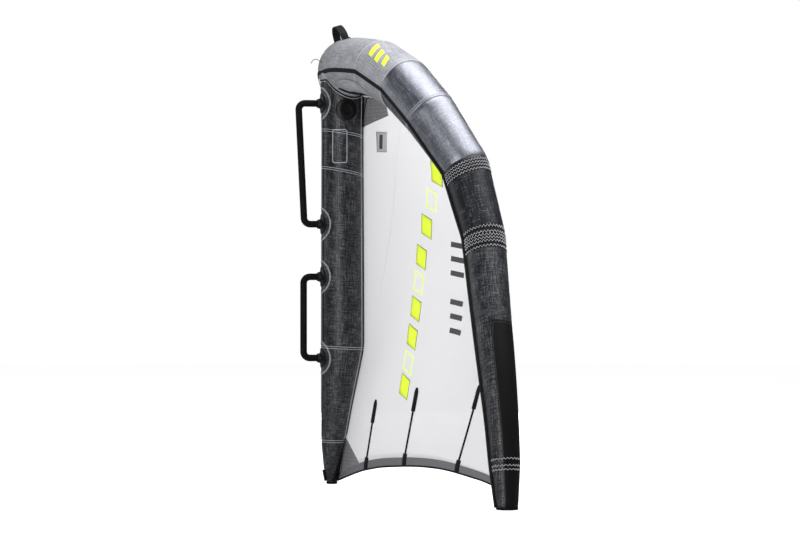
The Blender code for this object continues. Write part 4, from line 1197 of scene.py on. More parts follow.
def make_battens():
    """Each batten's pocket, patched at both ends, with its fork and the rod in it."""
    step = 0.1 * MM
    for side in (LEFT, RIGHT):
        for number, (share, reach) in enumerate(BATTENS, 1):
            spot = batten_spots(share)
            tag = f"{number}_{SIDE_NAMES[side]}"
            head = reach - HEAD_LENGTH

            def width_at(at, r=reach):
                top = r - at
                if at < FOOT_LENGTH:
                    return FOOT_WIDTH
                if top < HEAD_LENGTH:
                    point = max(0.0, HEAD_POINT - top) / HEAD_POINT
                    return HEAD_WIDTH * math.sqrt(max(0.02, 1 - point * point))
                return POCKET_WIDTH
            stops = sorted(set(steps(0, reach, 60)) | {
                FOOT_LENGTH - step, FOOT_LENGTH + step, head - step, head + step,
                reach - 4 * MM, reach - 2 * MM})
            ribbon(f"batten_pocket_{tag}", spot, stops, width_at,
                   lambda at, h=head: POCKET_HEIGHT if FOOT_LENGTH < at < h else PATCH_HEIGHT,
                   side, "black_nylon_webbing", "webbing",
                   replaces=(f"batten_sleeve_{tag}",))
            for leg, away in (("inner", -FORK_ASIDE), ("outer", FORK_ASIDE)):
                ribbon(f"batten_fork_{leg}_{tag}", spot,
                       steps(reach - FORK_START, reach - FORK_END, 6),
                       lambda at: FORK_WIDTH, lambda at: FORK_HEIGHT, side,
                       "black_nylon_webbing", "webbing", away=away)
            ribbon(f"batten_rod_{tag}", spot, steps(6 * MM, reach - 8 * MM, 24),
                   lambda at: ROD_WIDTH, lambda at: ROD_HEIGHT, side,
                   "pultruded_glass_fibre", "glass_fibre", replaces=(f"batten_{tag}",))


# Pieces: prints and patches on the canopy

def canopy_spot(out, height, extra, side):
    """A point of the canopy at a span and a height, off it towards +X."""
    def at(index):
        param = CANOPY_END * index / CANOPY_STEPS
        return canopy_point(param, row_at_height(param, height), extra)
    low, high = 0, CANOPY_STEPS
    while high - low > 1:
        middle = (low + high) // 2
        if at(middle).y < out:
            low = middle
        else:
            high = middle
    before, after = at(low), at(high)
    gap = after.y - before.y
    point = before.lerp(after, min(max((out - before.y) / gap, 0), 1) if gap > 1e-6 else 0)
    point.y *= side
    return point


def between(corners):
    """A function from shares u and v to a spot between four corners, in order."""
    a, b, c, d = [Vector(corner) for corner in corners]
    return lambda u, v: a.lerp(b, u).lerp(d.lerp(c, u), v)


def patch_piece(name, quads, side, look, slot, lift=0.5 * MM, count=6):
    """Patches on the canopy, each between four (span, height) corners."""
    bm = bmesh.new()
    for corners in quads:
        spot = between(corners)
        bent_grid(bm, steps(0, 1, count), steps(0, 1, count),
                  lambda u, v: canopy_spot(*spot(u, v), -lift, side),
                  lambda u, v: tuple(spot(u, v)))
    return finish_piece(bm, name, look, slot, thickness=0.3 * MM, offset=1.0, facing=-X_AXIS)


# Places on the canopy are (span, height) in metres
BAR_HEIGHTS = (1.40, 1.29, 1.18, 1.05, 0.94, 0.83, 0.71, 0.60, 0.50)
HOLLOW_BARS = (1, 4, 7)
BAR_SIZE = (0.064, 0.080, 0.030)                        # width, height, drop
BAR_SPAN = 0.445                                        # where the lower bars stand
BAR_LEAN, LEAN_START, LEAN_RUN = 0.10, 1.0, 0.40        # how the upper ones stand out
CORNER_PATCH = ((0.004, 0.200), (0.012, 0.200), (0.182, 0.097), (0.004, 0.042))
SECTOR_PATCH = ((0.002, 1.78), (0.244, 1.78), (0.244, 1.607), (0.002, 1.560))
CANOPY_SEAM = ((0.329, 1.57), (0.295, 1.49), (0.263, 1.41), (0.236, 1.25), (0.199, 1.02),
               (0.155, 0.816))
LABEL = ((0.139, 1.543), (0.217, 1.538), (0.203, 1.450), (0.136, 1.453))
LABEL_BAR = ((0.163, 1.528), (0.186, 1.527), (0.176, 1.466), (0.155, 1.467))
CASING_BARS = ((2.10, 196, 226), (2.34, 200, 228), (2.58, 204, 226))  # station, degrees
GREY_BAR_SIZE = (0.060, 0.022, 0.012)
GREY_BARS = ((0.650, 1.06), (0.655, 1.00), (0.660, 0.94), (0.675, 0.82), (0.685, 0.76),
               (0.695, 0.70))


def slanted_bar(out, height, width, tall, drop, grow=0.0):
    """Corners of a bar whose outer side stands lower by a drop, grown on all sides."""
    left, right = out - width / 2 - grow, out + width / 2 + grow
    return ((left, height + grow), (right, height - drop + grow),
            (right, height - drop - tall - grow), (left, height - tall - grow))


def make_prints():
    """Plain bars, corner patches and a seam on each half, and the near half's label."""
    for side in (LEFT, RIGHT):
        name = SIDE_NAMES[side]
        lime, edges = [], []
        for number, height in enumerate(BAR_HEIGHTS):
            out = BAR_SPAN + BAR_LEAN * max(0.0, (height - LEAN_START) / LEAN_RUN) ** 1.5
            bar = (out, height, *BAR_SIZE)
            if number in HOLLOW_BARS:
                outer, inner = slanted_bar(*bar), slanted_bar(*bar, grow=-5 * MM)
                lime += [(outer[i - 1], outer[i], inner[i], inner[i - 1]) for i in range(4)]
            else:
                lime.append(slanted_bar(*bar))
                edges.append(slanted_bar(*bar, grow=2.5 * MM))
        grey = [slanted_bar(out, height, *GREY_BAR_SIZE) for out, height in GREY_BARS]
        patch_piece(f"print_bars_{name}", lime, side, "lime_screen_print", "ripstop",
                    lift=0.9 * MM, count=4)
        patch_piece(f"print_outlines_{name}", edges, side, "grey_outline_print", "ripstop",
                    count=4)
        patch_piece(f"print_grey_bars_{name}", grey, side, "grey_outline_print", "ripstop",
                    count=4)
        patch_piece(f"corner_patch_{name}", [CORNER_PATCH], side, "grey_ripstop_patch",
                    "hem_cloth", count=10)
        patch_piece(f"sector_patch_{name}", [SECTOR_PATCH], side, "grey_ripstop_patch",
                    "ripstop", count=14)
        path = []
        for (y0, z0), (y1, z1) in zip(CANOPY_SEAM, CANOPY_SEAM[1:]):
            path += [canopy_spot(y0 + (y1 - y0) * t, z0 + (z1 - z0) * t, -0.3 * MM, side)
                     for t in steps(0, 1, 8)[:-1]]
        rope_piece(f"canopy_seam_{name}", [path], 0.9 * MM, "bonded_sewing_thread",
                   "ripstop", sides=5)
    patch_piece("canopy_label", [LABEL], LEFT, "pale_ripstop_patch", "ripstop",
                lift=0.8 * MM, count=5)
    patch_piece("canopy_label_bar", [LABEL_BAR], LEFT, "grey_outline_print", "ripstop",
                lift=1.3 * MM, count=4)


def make_casing_prints():
    """Three plain slanted lime bars beside the middle, one set on each side."""
    for side in (LEFT, RIGHT):
        bm = bmesh.new()
        for start, low, high in CASING_BARS:
            spot = between(((start, low), (start + 0.13, low + 2), (start + 0.23, high + 2),
                            (start + 0.10, high)))

            def place(u, v):
                param, degrees = spot(u, v)
                return le_point(param, math.radians(degrees), 0.6 * MM, side)
            bent_grid(bm, steps(0, 1, 5), steps(0, 1, 5), place,
                      lambda u, v: (u * 0.05, v * 0.05))
        finish_piece(bm, f"casing_bars_{SIDE_NAMES[side]}", "lime_screen_print",
                     "pale_casing_cloth", thickness=0.3 * MM, offset=0.0)


# Pieces: strut trim

def strut_line(degrees, top, bottom, low, rise, count):
    """Points down the strut at one angle, each second one lifted."""
    return lifted(steps(top, bottom, count), low, rise,
                  lambda height, lift: strut_point(math.radians(degrees), height, lift))


def stitch_ring(height_at, low, rise):
    """One closed row of stitches round the strut."""
    return lifted(steps(0, math.tau, 120)[:-1], low, rise,
                  lambda angle, lift: strut_point(angle, height_at(angle), lift))


def label_outline(middle, half, top, bottom):
    """A rounded rectangle on the strut, between two angles and two heights."""
    radius = strut_at((top + bottom) / 2)[1]
    width = math.radians(2 * half) * radius
    spots = rounded_path([Vector(p) for p in (
        (0, top, 0), (width / 2, top, 0), (width / 2, bottom, 0), (-width / 2, bottom, 0),
        (-width / 2, top, 0), (0, top, 0))], 10 * MM, 5)
    path = []
    for before, after in zip(spots, spots[1:]):
        parts = max(1, round((after - before).length / (6 * MM)))
        path += [before.lerp(after, t) for t in steps(0, 1, parts)[:-1]]
    return [strut_point(math.radians(middle) + p.x / radius, p.y, 0.6 * MM) for p in path]


REAR_ROWS = (323.5, 36.5)    # degrees round the strut where its long rows of thread run
FRONT_TAPES = 15             # degrees from the strut's front to each long tape
SIDE_PIPING = 13             # degrees from the strut's back to the piping on each side
LONG_ROW_END, FRONT_TAPE_END = 0.20, 0.21          # heights over the floor
PIPING_TOP, PIPING_END = 1.57, 0.215
FLARE_TOP, FLARE_SPAN, FLARE_WIDTH = 1.70, 0.112, 0.098   # where its top bends outwards
WEDGE_TOP, WEDGE_DROP = 0.225, 0.212
WEDGE_SPREAD = 83            # degrees that the wedge on the tail widens by


def make_strut_trim():
    """What is sewn on the strut: long rows, tapes, piping, wedges and an outline."""
    rows = []
    for degrees in REAR_ROWS:
        high = saddle_height(math.radians(degrees)) - 6 * MM
        rows.append(strut_line(degrees, high, LONG_ROW_END, 0.2 * MM, 0.7 * MM, 330))
    sewn_rows("strut_long_stitches", rows, closed=False)
    for side in (LEFT, RIGHT):
        name = SIDE_NAMES[side]

        def tape(share, across, s=side):
            middle = math.radians(180 - s * FRONT_TAPES)
            angle = middle + (across - 0.5) * 9 * MM / sizes().strut_radius
            high = saddle_height(angle) - 4 * MM
            return strut_point(angle, high + (FRONT_TAPE_END - high) * share, 0.55 * MM)
        grid_piece(f"strut_front_tape_{name}", steps(0, 1, 90), steps(0, 1, 2), tape,
                   lambda s, a: (s * 1.4, a * 0.01), "black_nylon_webbing", "webbing",
                   thickness=0.45 * MM)
        flare = [canopy_spot(FLARE_SPAN - FLARE_WIDTH * t ** 0.6, FLARE_TOP - 0.12 * t,
                             -2 * MM, side) for t in steps(0, 1, 12)]
        down = strut_line(side * SIDE_PIPING, PIPING_TOP, PIPING_END, 1.2 * MM, 0.0, 80)
        rope_piece(f"strut_side_piping_{name}", [flare + down], 2.3 * MM,
                   "black_nylon_webbing", "webbing", sides=8)

        def wedge(share, across, s=side):
            height = WEDGE_TOP - WEDGE_DROP * share
            first = math.radians(SIDE_PIPING)
            last = math.radians(SIDE_PIPING + WEDGE_SPREAD * share)
            return strut_point(s * (first + (last - first) * across), height, 0.5 * MM)
        grid_piece(f"tail_wedge_{name}", steps(0.02, 1, 14), steps(0, 1, 12), wedge,
                   lambda s, a: (s * 0.2, a * 0.08), "black_nylon_webbing", "webbing",
                   thickness=0.6 * MM, offset=1.0)
    rope_piece("strut_label_outline", [label_outline(251, 20, 1.553, 1.408)], 1.2 * MM,
               "bonded_sewing_thread", "dark_casing_cloth", sides=6, closed=True)
    row = stitch_ring(lambda a: saddle_height(a) - 7 * MM, 0.2 * MM, 0.7 * MM)
    sewn_rows("saddle_stitches", [row])
    make_air_link_cover()
    make_tail_tab()


def make_air_link_cover():
    """A swollen pale flap where the two bladders are joined, over a black sheet that is painted
    shadow under it.
    """
    def lens(first, last, middle, upper, lower, swell, crease):
        """A pointed oval between two stations, with degrees to its middle and edges."""
        def place(along, across):
            share = math.sin(math.pi * along) ** 0.7
            degrees = middle - upper * share + (upper + lower) * share * across
            # The creases are three waves along it and one and a half across
            height = (0.8 * MM + swell * math.sin(math.pi * across) * share
                      + crease * math.sin(along * 21) * math.sin(across * 9) * share)
            return le_point(first + (last - first) * along, math.radians(degrees), height,
                            LEFT)
        return place
    shares = [0.5 - 0.5 * math.cos(math.pi * t) for t in steps(0.01, 0.99, 32)]
    # A black lens under the flap: painted shadow beneath it
    grid_piece("air_link_painted_shadow", shares, steps(0, 1, 10),
               lens(0.66, 2.10, -36, 6, 21, MM, 0.0),
               lambda a, b: (a * 0.25, b * 0.08), "black_nylon_webbing", "webbing",
               thickness=0.5 * MM, offset=1.0)
    grid_piece("air_link_flap", shares, steps(0, 1, 14),
               lens(0.88, 2.42, -50, 18, 16, 16 * MM, 1.5 * MM),
               lambda a, b: (a * 0.3, b * 0.1), "pale_woven_polyester",
               "pale_casing_cloth", thickness=1.0 * MM, offset=1.0)


def make_tail_tab():
    """A folded webbing tab on the strut's tail."""
    path = [strut_point(math.pi, height, 4.5 * MM) for height in steps(0.014, 0.062, 12)]
    bm = bmesh.new()
    rope(bm, path, 9 * MM, 16, flat=0.5, wide=lambda index: X_AXIS)
    finish_piece(bm, "tail_tab", "black_nylon_webbing", "webbing", sharp=60)


# Pieces: handles. Arms are drops as shares of the stand height.

FRONT_ARMS, REAR_ARMS = (0.0909, 0.3793), (0.5050, 0.6988)
FRONT_REACHES, REAR_REACHES = (0.196, 0.170), (0.173, 0.173)   # forwards from its axis
BASE_RADIUS = 44 * MM
BASE_THICKNESS = 4 * MM
NECK_HEIGHT = 16 * MM
PATCH_RADIUS = 75 * MM       # of the cloth patch under a base


def socket_floor(height):
    """Where a bar ends, a little in front of the strut's cloth."""
    axis, radius = strut_at(height)
    return axis - radius - GAP - 1.5 * MM


def make_handles():
    """Each handle's bent bar in its foam, and the two bases it stands in."""
    size = sizes()
    for name, shares, reaches in (("front", FRONT_ARMS, FRONT_REACHES),
                                  ("rear", REAR_ARMS, REAR_REACHES)):
        heights = [size.stand_height * (1 - share) for share in shares]
        ends = [Vector((socket_floor(h) - GAP, 0, h)) for h in heights]
        corners = [Vector((SHIFT[0] - reach, 0, h)) for reach, h in zip(reaches, heights)]
        path = rounded_path([ends[0], *corners, ends[1]], size.grip_bend)
        bm = bmesh.new()
        rope(bm, path, size.grip_radius, 28)
        finish_piece(bm, f"{name}_grip", "black_eva_grip", "grip_coating",
                     replaces=(f"{name}_handle",))
        for level, height in zip(("upper", "lower"), heights):
            make_handle_base(f"{name}_{level}", height, f"{name}_handle_base_{level}")


def strut_front(y, z, lift):
    """A point over the front of the strut, wrapped round it."""
    axis, radius = strut_at(z)
    angle = math.pi - y / radius
    return Vector((axis + (radius + lift) * math.cos(angle),
                   (radius + lift) * math.sin(angle), z))


def make_handle_base(tag, height, node):
    """A round pad wrapped on the strut, rising into a neck round the bar."""
    bore = sizes().grip_radius + GAP
    neck_top = BASE_THICKNESS + NECK_HEIGHT
    profile = rounded_profile((
        (BASE_RADIUS, 0.2 * MM), (BASE_RADIUS, 2.6 * MM),
        (BASE_RADIUS - 4 * MM, BASE_THICKNESS), (27 * MM, 4.6 * MM), (21.5 * MM, 9 * MM),
        (19.4 * MM, neck_top - 1 * MM), (18.0 * MM, neck_top), (bore, neck_top),
        (bore, 2.0 * MM)), 3 * MM, 5)
    axis, radius = strut_at(height)

    def place(index, turn):
        out, lift = profile[index]
        y, z = out * math.cos(turn), out * math.sin(turn)
        flat = Vector((axis - radius - GAP - lift, y, height + z))
        share = min(max((lift - 3 * MM) / (7 * MM), 0), 1)
        return strut_front(y, height + z, GAP + lift).lerp(flat, share)
    turns = steps(0, math.tau, 56)
    grid_piece(f"handle_socket_{tag}", list(range(len(profile))), turns, place,
               lambda i, t: (profile[i][0], t * 0.03), "black_moulded_nylon",
               "black_plastic", capped=True, replaces=(node,))

    def on_cloth(out, turn, lift):
        return strut_front(out * math.cos(turn), height + out * math.sin(turn), lift)
    grid_piece(f"handle_patch_{tag}", [16 * MM, 40 * MM, 60 * MM, 73 * MM, PATCH_RADIUS], turns,
               lambda r, t: on_cloth(r, t, 0.15 * MM if r == PATCH_RADIUS else 0.7 * MM),
               lambda r, t: (r * math.cos(t), r * math.sin(t)),
               "denim_slub_and_painted_light", "dark_casing_cloth")
    rows = [lifted(steps(0, math.tau, 80)[:-1], 1.0 * MM, 0.5 * MM,
                   lambda turn, lift, r=radius: on_cloth(r, turn, lift))
            for radius in (67 * MM, 71.5 * MM)]
    sewn_rows(f"handle_patch_stitches_{tag}", rows, slot="webbing")


# Pieces: valve, hose, webbing and line

VALVE_DROP = 0.197                                   # from the leading edge's axis
FLANGE_RADIUS = 48 * MM
BOSS_RADIUS, BOSS_TOP = 30 * MM, 9 * MM
THROAT_RADIUS, THROAT_BOTTOM = 24.3 * MM, -15 * MM   # lifts are from the strut's cloth


def make_valve():
    """A flange wrapped on the strut, the boss in it, and the ear of the cap's hinge."""
    height = sizes().stand_height - VALVE_DROP
    axis, radius = strut_at(height)
    place = Matrix.Translation((axis, -radius, height)) @ Matrix.Rotation(math.pi / 2, 4, "X")
    flange = rounded_profile((
        (29 * MM, 3.2 * MM), (40 * MM, 3.2 * MM), (FLANGE_RADIUS - 2 * MM, 2.6 * MM),
        (FLANGE_RADIUS, 1.4 * MM), (FLANGE_RADIUS, 0.0), (BOSS_RADIUS, 0.0)), 1.5 * MM)
    boss = rounded_profile((
        (THROAT_RADIUS, THROAT_BOTTOM), (THROAT_RADIUS, BOSS_TOP), (BOSS_RADIUS, BOSS_TOP),
        (BOSS_RADIUS, 4.2 * MM), (33 * MM, 3.2 * MM)), 0.8 * MM)
    boss += [(BOSS_RADIUS, THROAT_BOTTOM), (THROAT_RADIUS, THROAT_BOTTOM)]

    def wrap(index, turn):
        out, lift = flange[index]
        angle = -math.pi / 2 + out * math.cos(turn) / radius
        return strut_point(angle, height + out * math.sin(turn), GAP + lift)
    bm = bmesh.new()
    bent_grid(bm, list(range(len(flange))), steps(0, math.tau, 64), wrap,
              lambda i, t: (flange[i][0], t * 0.03))
    part = bmesh.new()
    turned_mesh(part, boss, place)
    join_into(bm, part)
    join_into(bm, rounded_block(place, (0, -36.5 * MM, 5.5 * MM), (14 * MM, 9 * MM, 7.5 * MM)))
    finish_piece(bm, "valve_flange", "black_moulded_nylon", "black_plastic",
                 replaces=("valve_base",))
    make_valve_cap(place)


def make_valve_cap(place):
    """Screw cap with a finger rim and a moulded tab to its hinge."""
    outer, inner = 31.3 * MM, 28.5 * MM
    bottom, under, top = 9.3 * MM, 11.6 * MM, 14.6 * MM
    profile = rounded_profile((
        (0.0, top - 1.0 * MM), (15 * MM, top - 1.0 * MM), (17 * MM, top), (outer - 2 * MM, top),
        (outer, top - 2 * MM), (outer, bottom), (inner, bottom), (inner, under),
        (0.0, under)), 0.9 * MM)
    bm = bmesh.new()
    turned_mesh(bm, profile, place)
    join_into(bm, rounded_block(place, (0, -34.5 * MM, 10.6 * MM),
                                (14 * MM, 9.6 * MM, 2.6 * MM)))
    finish_piece(bm, "valve_screw_cap", "black_moulded_nylon", "black_plastic",
                 body="valve_cap", replaces=("valve_cap",))


WEBBING_LEAN = math.radians(17)               # forwards from straight up
WEBBING_HALF, WEBBING_FOOT = 0.105, 0.028     # half its length, and each sewn end's
WEBBING_RISE = 60 * MM
WEBBING_WIDTH, WEBBING_THICKNESS = 34 * MM, 3 * MM


def make_webbing_handle():
    """A loop of webbing over the front of the leading edge, sewn at both feet."""
    out = Vector((-math.sin(WEBBING_LEAN), 0, math.cos(WEBBING_LEAN)))
    across = Vector((math.cos(WEBBING_LEAN), 0, math.sin(WEBBING_LEAN)))
    angle = math.pi + WEBBING_LEAN
    first = le_point(1, angle, GAP).y
    inner = WEBBING_HALF - WEBBING_FOOT
    spans = [(WEBBING_HALF, 0), (WEBBING_HALF - WEBBING_FOOT / 2, 0), (inner + 2 * MM, 0)]
    spans += [(inner * math.cos(t), WEBBING_RISE * math.sin(t))
              for t in steps(0.04, math.pi / 2, 14)]
    half = []
    for span, lift in spans:
        seat = le_point(min(span / first, 1), angle, GAP)
        half.append(Vector((seat.x, span, seat.z)) + out * (lift + 1.6 * MM))
    path = [Vector((p.x, -p.y, p.z)) for p in half] + half[-2::-1]

    def place(index, turn):
        run = (path[min(index + 1, len(path) - 1)] - path[max(index - 1, 0)]).normalized()
        # Powers under 1 square the section off, as flat webbing is
        flat = math.copysign(abs(math.cos(turn)) ** 0.35, math.cos(turn))
        thick = math.copysign(abs(math.sin(turn)) ** 0.6, math.sin(turn))
        return (path[index] + across * flat * (WEBBING_WIDTH / 2)
                + across.cross(run).normalized() * thick * (WEBBING_THICKNESS / 2))
    grid_piece("carry_webbing", list(range(len(path))), steps(0, math.tau, 24), place,
               lambda i, t: (path[i].y, t * 0.02), "black_nylon_webbing", "webbing",
               capped=True, replaces=("le_webbing_handle",))


LEASH_RADIUS = 1.6 * MM
LEASH_DEGREES = -97          # where it leaves the middle of the leading edge
LEASH_POINTS = (
    (0.0000, 0.0000), (0.0080, 0.0060), (0.0170, 0.0125), (0.0260, 0.0150),
    (0.0350, 0.0130), (0.0425, 0.0060), (0.0480, -0.0040),
)


def make_leash_line():
    """A stiff short line that stands out forwards from the middle and curls down."""
    root = le_point(0, math.radians(LEASH_DEGREES), GAP)
    line = [Vector((root.x - out, 0, root.z + rise)) for out, rise in LEASH_POINTS]
    bm = bmesh.new()
    rope(bm, line, LEASH_RADIUS, 12)
    piece = finish_piece(bm, "tie_line", "braided_line", "leash_line",
                         replaces=("leash_line",))


def dress_frame():
    """Carried-over pieces whose shape is right get their real finish."""
    finishes = {
        "valve_insert": "black_moulded_nylon", "valve_plunger": "black_grained_rubber",
        "valve_spring": "drawn_spring_steel", "transfer_hose": "black_grained_rubber",
        "hose_clip": "black_moulded_nylon", "hose_clip_lever": "black_moulded_nylon",
    }
    for name, look in finishes.items():
        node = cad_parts[name]
        node.data.materials.clear()
        node.data.materials.append(MATERIALS[look])


# Stitching

def zigzag_row(param, width, side, lift):
    """One zig-zag row of thread round the leading edge."""
    index = min(int(param), LAST - 1)
    share = param - index
    radius = STATIONS[index].radius * (1 - share) + STATIONS[index + 1].radius * share
    count = int(math.tau * radius / sizes().stitch_pitch) * 2
    reach = width / 2 / run_length(index)
    points = []
    for i in range(count):
        at = param + (reach if i % 2 else -reach)
        angle = math.tau * i / count
        on_pad = param > PAD_TOP and PAD_ANGLES[0] < angle < PAD_ANGLES[1]
        over = 2 * MM if on_pad else casing_extra(at)
        points.append(le_point(at, angle, lift + over, side))
    return points


STITCH_ROWS = (   # seam, distances of rows in mm, zig-zag width in mm, tape from and to
    (2, (-4,), 0.6, ()),
    (3, (-4,), 0.6, ()),
    (4, (-12, -4), 2.0, ()),
    (5, (19, 32, 45, 60), 8.0, (12, 67)),
    (6, (-8, 18, 32, 46, 60, 82), 9.5, (-15, 89)),
    (10, (-18, 8, 23), 6.5, ()),
)


def make_seam_tape(seam, start, end, side):
    """Black tape round the leading edge, which the zig-zag rows hold down."""
    alongs = [shifted(seam, d * MM) for d in steps(start, end, 26)]
    grid_piece(f"seam_tape_{seam}_{SIDE_NAMES[side]}", alongs,
               steps(0, math.tau, sizes().around),
               lambda p, a: le_point(p, a, casing_extra(p) + 0.6 * MM, side),
               le_measure(side), "black_nylon_webbing", "webbing", thickness=0.45 * MM)


def make_stitches():
    """Zig-zag rows at the leading edge's seams, and two rows at each strut seam."""
    for side in (LEFT, RIGHT):
        for seam, distances, width, tape in STITCH_ROWS:
            lift, thicker = 0.6 * MM, 1.0
            if tape:
                make_seam_tape(seam, *tape, side)
                lift, thicker = 1.2 * MM, 1.15
            rows = [zigzag_row(shifted(seam, d * MM), width * MM, side, lift)
                    for d in distances]
            sewn_rows(f"seam_stitches_{seam}_{SIDE_NAMES[side]}", rows, thicker=thicker)
    for seam, _ in STRUT_SEAM_SLANTS:
        rows = [stitch_ring(lambda a, d=drop: seam_height(seam, a) + d, 0.3 * MM, 0.6 * MM)
                for drop in (-4 * MM, 5 * MM)]
        sewn_rows(f"strut_stitches_{seam}", rows)


# Stage

LAMPS = (   # name, place, where it points, width, height, watts
    ("softbox_top", (1.2, -1.1, 5.0), (0.15, -0.8, 1.5), 4.6, 4.6, 380),
    ("strip_front", (-4.06, -5.7, 1.3), (0, 0, 1.0), 0.4, 2.6, 210),
    ("softbox_left", (-5.0, 3.6, 2.4), (0.1, -0.4, 1.0), 3.0, 3.0, 60),
    ("softbox_back", (1.6, 5.2, 1.4), (0.2, -0.6, 0.7), 2.5, 2.5, 300),
)
CAMERA_PLACE = (-2.5724, -11.2418, 0.9548)
CAMERA_WAY = (0.2334, 0.9724, 0)       # level, along the span
CAMERA_LENS, CAMERA_SENSOR = 117.6, 36     # mm
FLOOR_RADIUS = 14
WALL_STRENGTH = 0.16                   # what the white walls give as light


def make_world():
    """White walls: full white to the camera, and a weak even light on the wing."""
    world = bpy.data.worlds.new("studio")
    bpy.context.scene.world = world
    world.use_nodes = True
    tree = world.node_tree
    path = add_node(tree, "ShaderNodeLightPath")
    seen = calc(tree, "MAXIMUM", path.outputs["Is Camera Ray"],
                path.outputs["Is Transmission Ray"])
    back = tree.nodes["Background"]
    back.inputs["Color"].default_value = (1, 1, 1, 1)
    tree.links.new(spread(tree, seen, 0.0, 1.0, WALL_STRENGTH, 1.0),
                   back.inputs["Strength"])


def make_floor():
    """A light grey floor that the camera sees as nearly white."""
    bm = bmesh.new()
    bmesh.ops.create_circle(bm, cap_ends=True, segments=96, radius=FLOOR_RADIUS)
    mesh = bpy.data.meshes.new("studio_floor")
    bm.to_mesh(mesh)
    bm.free()
    floor = put_in_scene("studio_floor", mesh)
    tree, shader = new_finish("white_studio_floor", linear("#b4b4b4"), 0.9,
                              Specular_IOR_Level=0.1)
    path = add_node(tree, "ShaderNodeLightPath")
    glow = add_node(tree, "ShaderNodeEmission",
                    {"Strength": calc(tree, "MULTIPLY", path.outputs["Is Camera Ray"], 0.9)})
    both = add_node(tree, "ShaderNodeAddShader", {0: shader.outputs[0], 1: glow.outputs[0]})
    tree.links.new(both.outputs[0], tree.nodes["Material Output"].inputs["Surface"])
    mesh.materials.append(MATERIALS["white_studio_floor"])


def point_at(holder, place, way):
    """Put a lamp or the camera at a place, looking along a way."""
    holder.location = place
    holder.rotation_euler = Vector(way).to_track_quat("-Z", "Y").to_euler()


def make_stage():
    """White walls and floor, the lamps, and the camera where the photo's was."""
    make_world()
    make_floor()
    for name, place, aim, wide, tall, power in LAMPS:
        lamp = bpy.data.lights.new(name, "AREA")
        lamp.shape = "RECTANGLE"
        lamp.size, lamp.size_y = wide, tall
        lamp.energy = power
        point_at(put_in_scene(name, lamp), place, Vector(aim) - Vector(place))
    camera = bpy.data.cameras.new("photo_camera")
    camera.lens, camera.sensor_width = CAMERA_LENS, CAMERA_SENSOR
    holder = put_in_scene("photo_camera", camera)
    point_at(holder, CAMERA_PLACE, CAMERA_WAY)
    scene = bpy.context.scene
    scene.camera = holder
    scene.view_settings.view_transform = "Standard"


def start_forms():
    """Work out the forms' stations from the sizes, once these are registered."""
    made, shift = find_stations()
    STATIONS[:] = made
    SHIFT[:] = [shift]


class FOILWING_OT_finishes(bpy.types.Operator):
    """Makes every material"""
    bl_idname = "foilwing.finishes"
    bl_label = "Finishes"

    def execute(self, context):
        make_materials()
        return {"FINISHED"}


class FOILWING_OT_casing(bpy.types.Operator):
    """Sews the panels of the leading edge"""
    bl_idname = "foilwing.casing"
    bl_label = "Leading Edge Casing"

    def execute(self, context):
        make_casing()
        return {"FINISHED"}


class FOILWING_OT_bladders(bpy.types.Operator):
    """Makes both air bladders"""
    bl_idname = "foilwing.bladders"
    bl_label = "Bladders"

    def execute(self, context):
        make_bladders()
        return {"FINISHED"}


class FOILWING_OT_welts(bpy.types.Operator):
    """Lays the piping on the leading edge"""
    bl_idname = "foilwing.welts"
    bl_label = "Welts"

    def execute(self, context):
        make_welts()
        return {"FINISHED"}


class FOILWING_OT_tips(bpy.types.Operator):
    """Puts pads and caps on both tips"""
    bl_idname = "foilwing.tips"
    bl_label = "Tips"

    def execute(self, context):
        make_tips()
        return {"FINISHED"}


class FOILWING_OT_strut(bpy.types.Operator):
    """Sews the strut with its saddle and tail"""
    bl_idname = "foilwing.strut"
    bl_label = "Strut"

    def execute(self, context):
        make_strut()
        return {"FINISHED"}


class FOILWING_OT_canopy(bpy.types.Operator):
    """Stretches the canopy with its hem"""
    bl_idname = "foilwing.canopy"
    bl_label = "Canopy"

    def execute(self, context):
        make_canopy()
        return {"FINISHED"}


class FOILWING_OT_prints(bpy.types.Operator):
    """Puts plain bars and patches on the canopy and casing"""
    bl_idname = "foilwing.prints"
    bl_label = "Prints"

    def execute(self, context):
        make_prints()
        make_casing_prints()
        return {"FINISHED"}


class FOILWING_OT_trim(bpy.types.Operator):
    """Sews the strut's piping, flap, tab and long rows"""
    bl_idname = "foilwing.trim"
    bl_label = "Strut Trim"

    def execute(self, context):
        make_strut_trim()
        return {"FINISHED"}


class FOILWING_OT_battens(bpy.types.Operator):
    """Puts the battens in their pockets"""
    bl_idname = "foilwing.battens"
    bl_label = "Battens"

    def execute(self, context):
        make_battens()
        return {"FINISHED"}


class FOILWING_OT_handles(bpy.types.Operator):
    """Makes both rigid handles and their sockets"""
    bl_idname = "foilwing.handles"
    bl_label = "Handles"

    def execute(self, context):
        make_handles()
        return {"FINISHED"}


class FOILWING_OT_valve(bpy.types.Operator):
    """Makes the valve's flange and cap"""
    bl_idname = "foilwing.valve"
    bl_label = "Valve"

    def execute(self, context):
        make_valve()
        return {"FINISHED"}


class FOILWING_OT_webbing(bpy.types.Operator):
    """Sews the webbing handle"""
    bl_idname = "foilwing.webbing"
    bl_label = "Webbing Handle"

    def execute(self, context):
        make_webbing_handle()
        return {"FINISHED"}


class FOILWING_OT_line(bpy.types.Operator):
    """Lays the short tie line"""
    bl_idname = "foilwing.line"
    bl_label = "Tie Line"

    def execute(self, context):
        make_leash_line()
        return {"FINISHED"}


class FOILWING_OT_inner(bpy.types.Operator):
    """Dresses the pieces that are carried over"""
    bl_idname = "foilwing.inner"
    bl_label = "Inner Pieces"

    def execute(self, context):
        dress_frame()
        return {"FINISHED"}


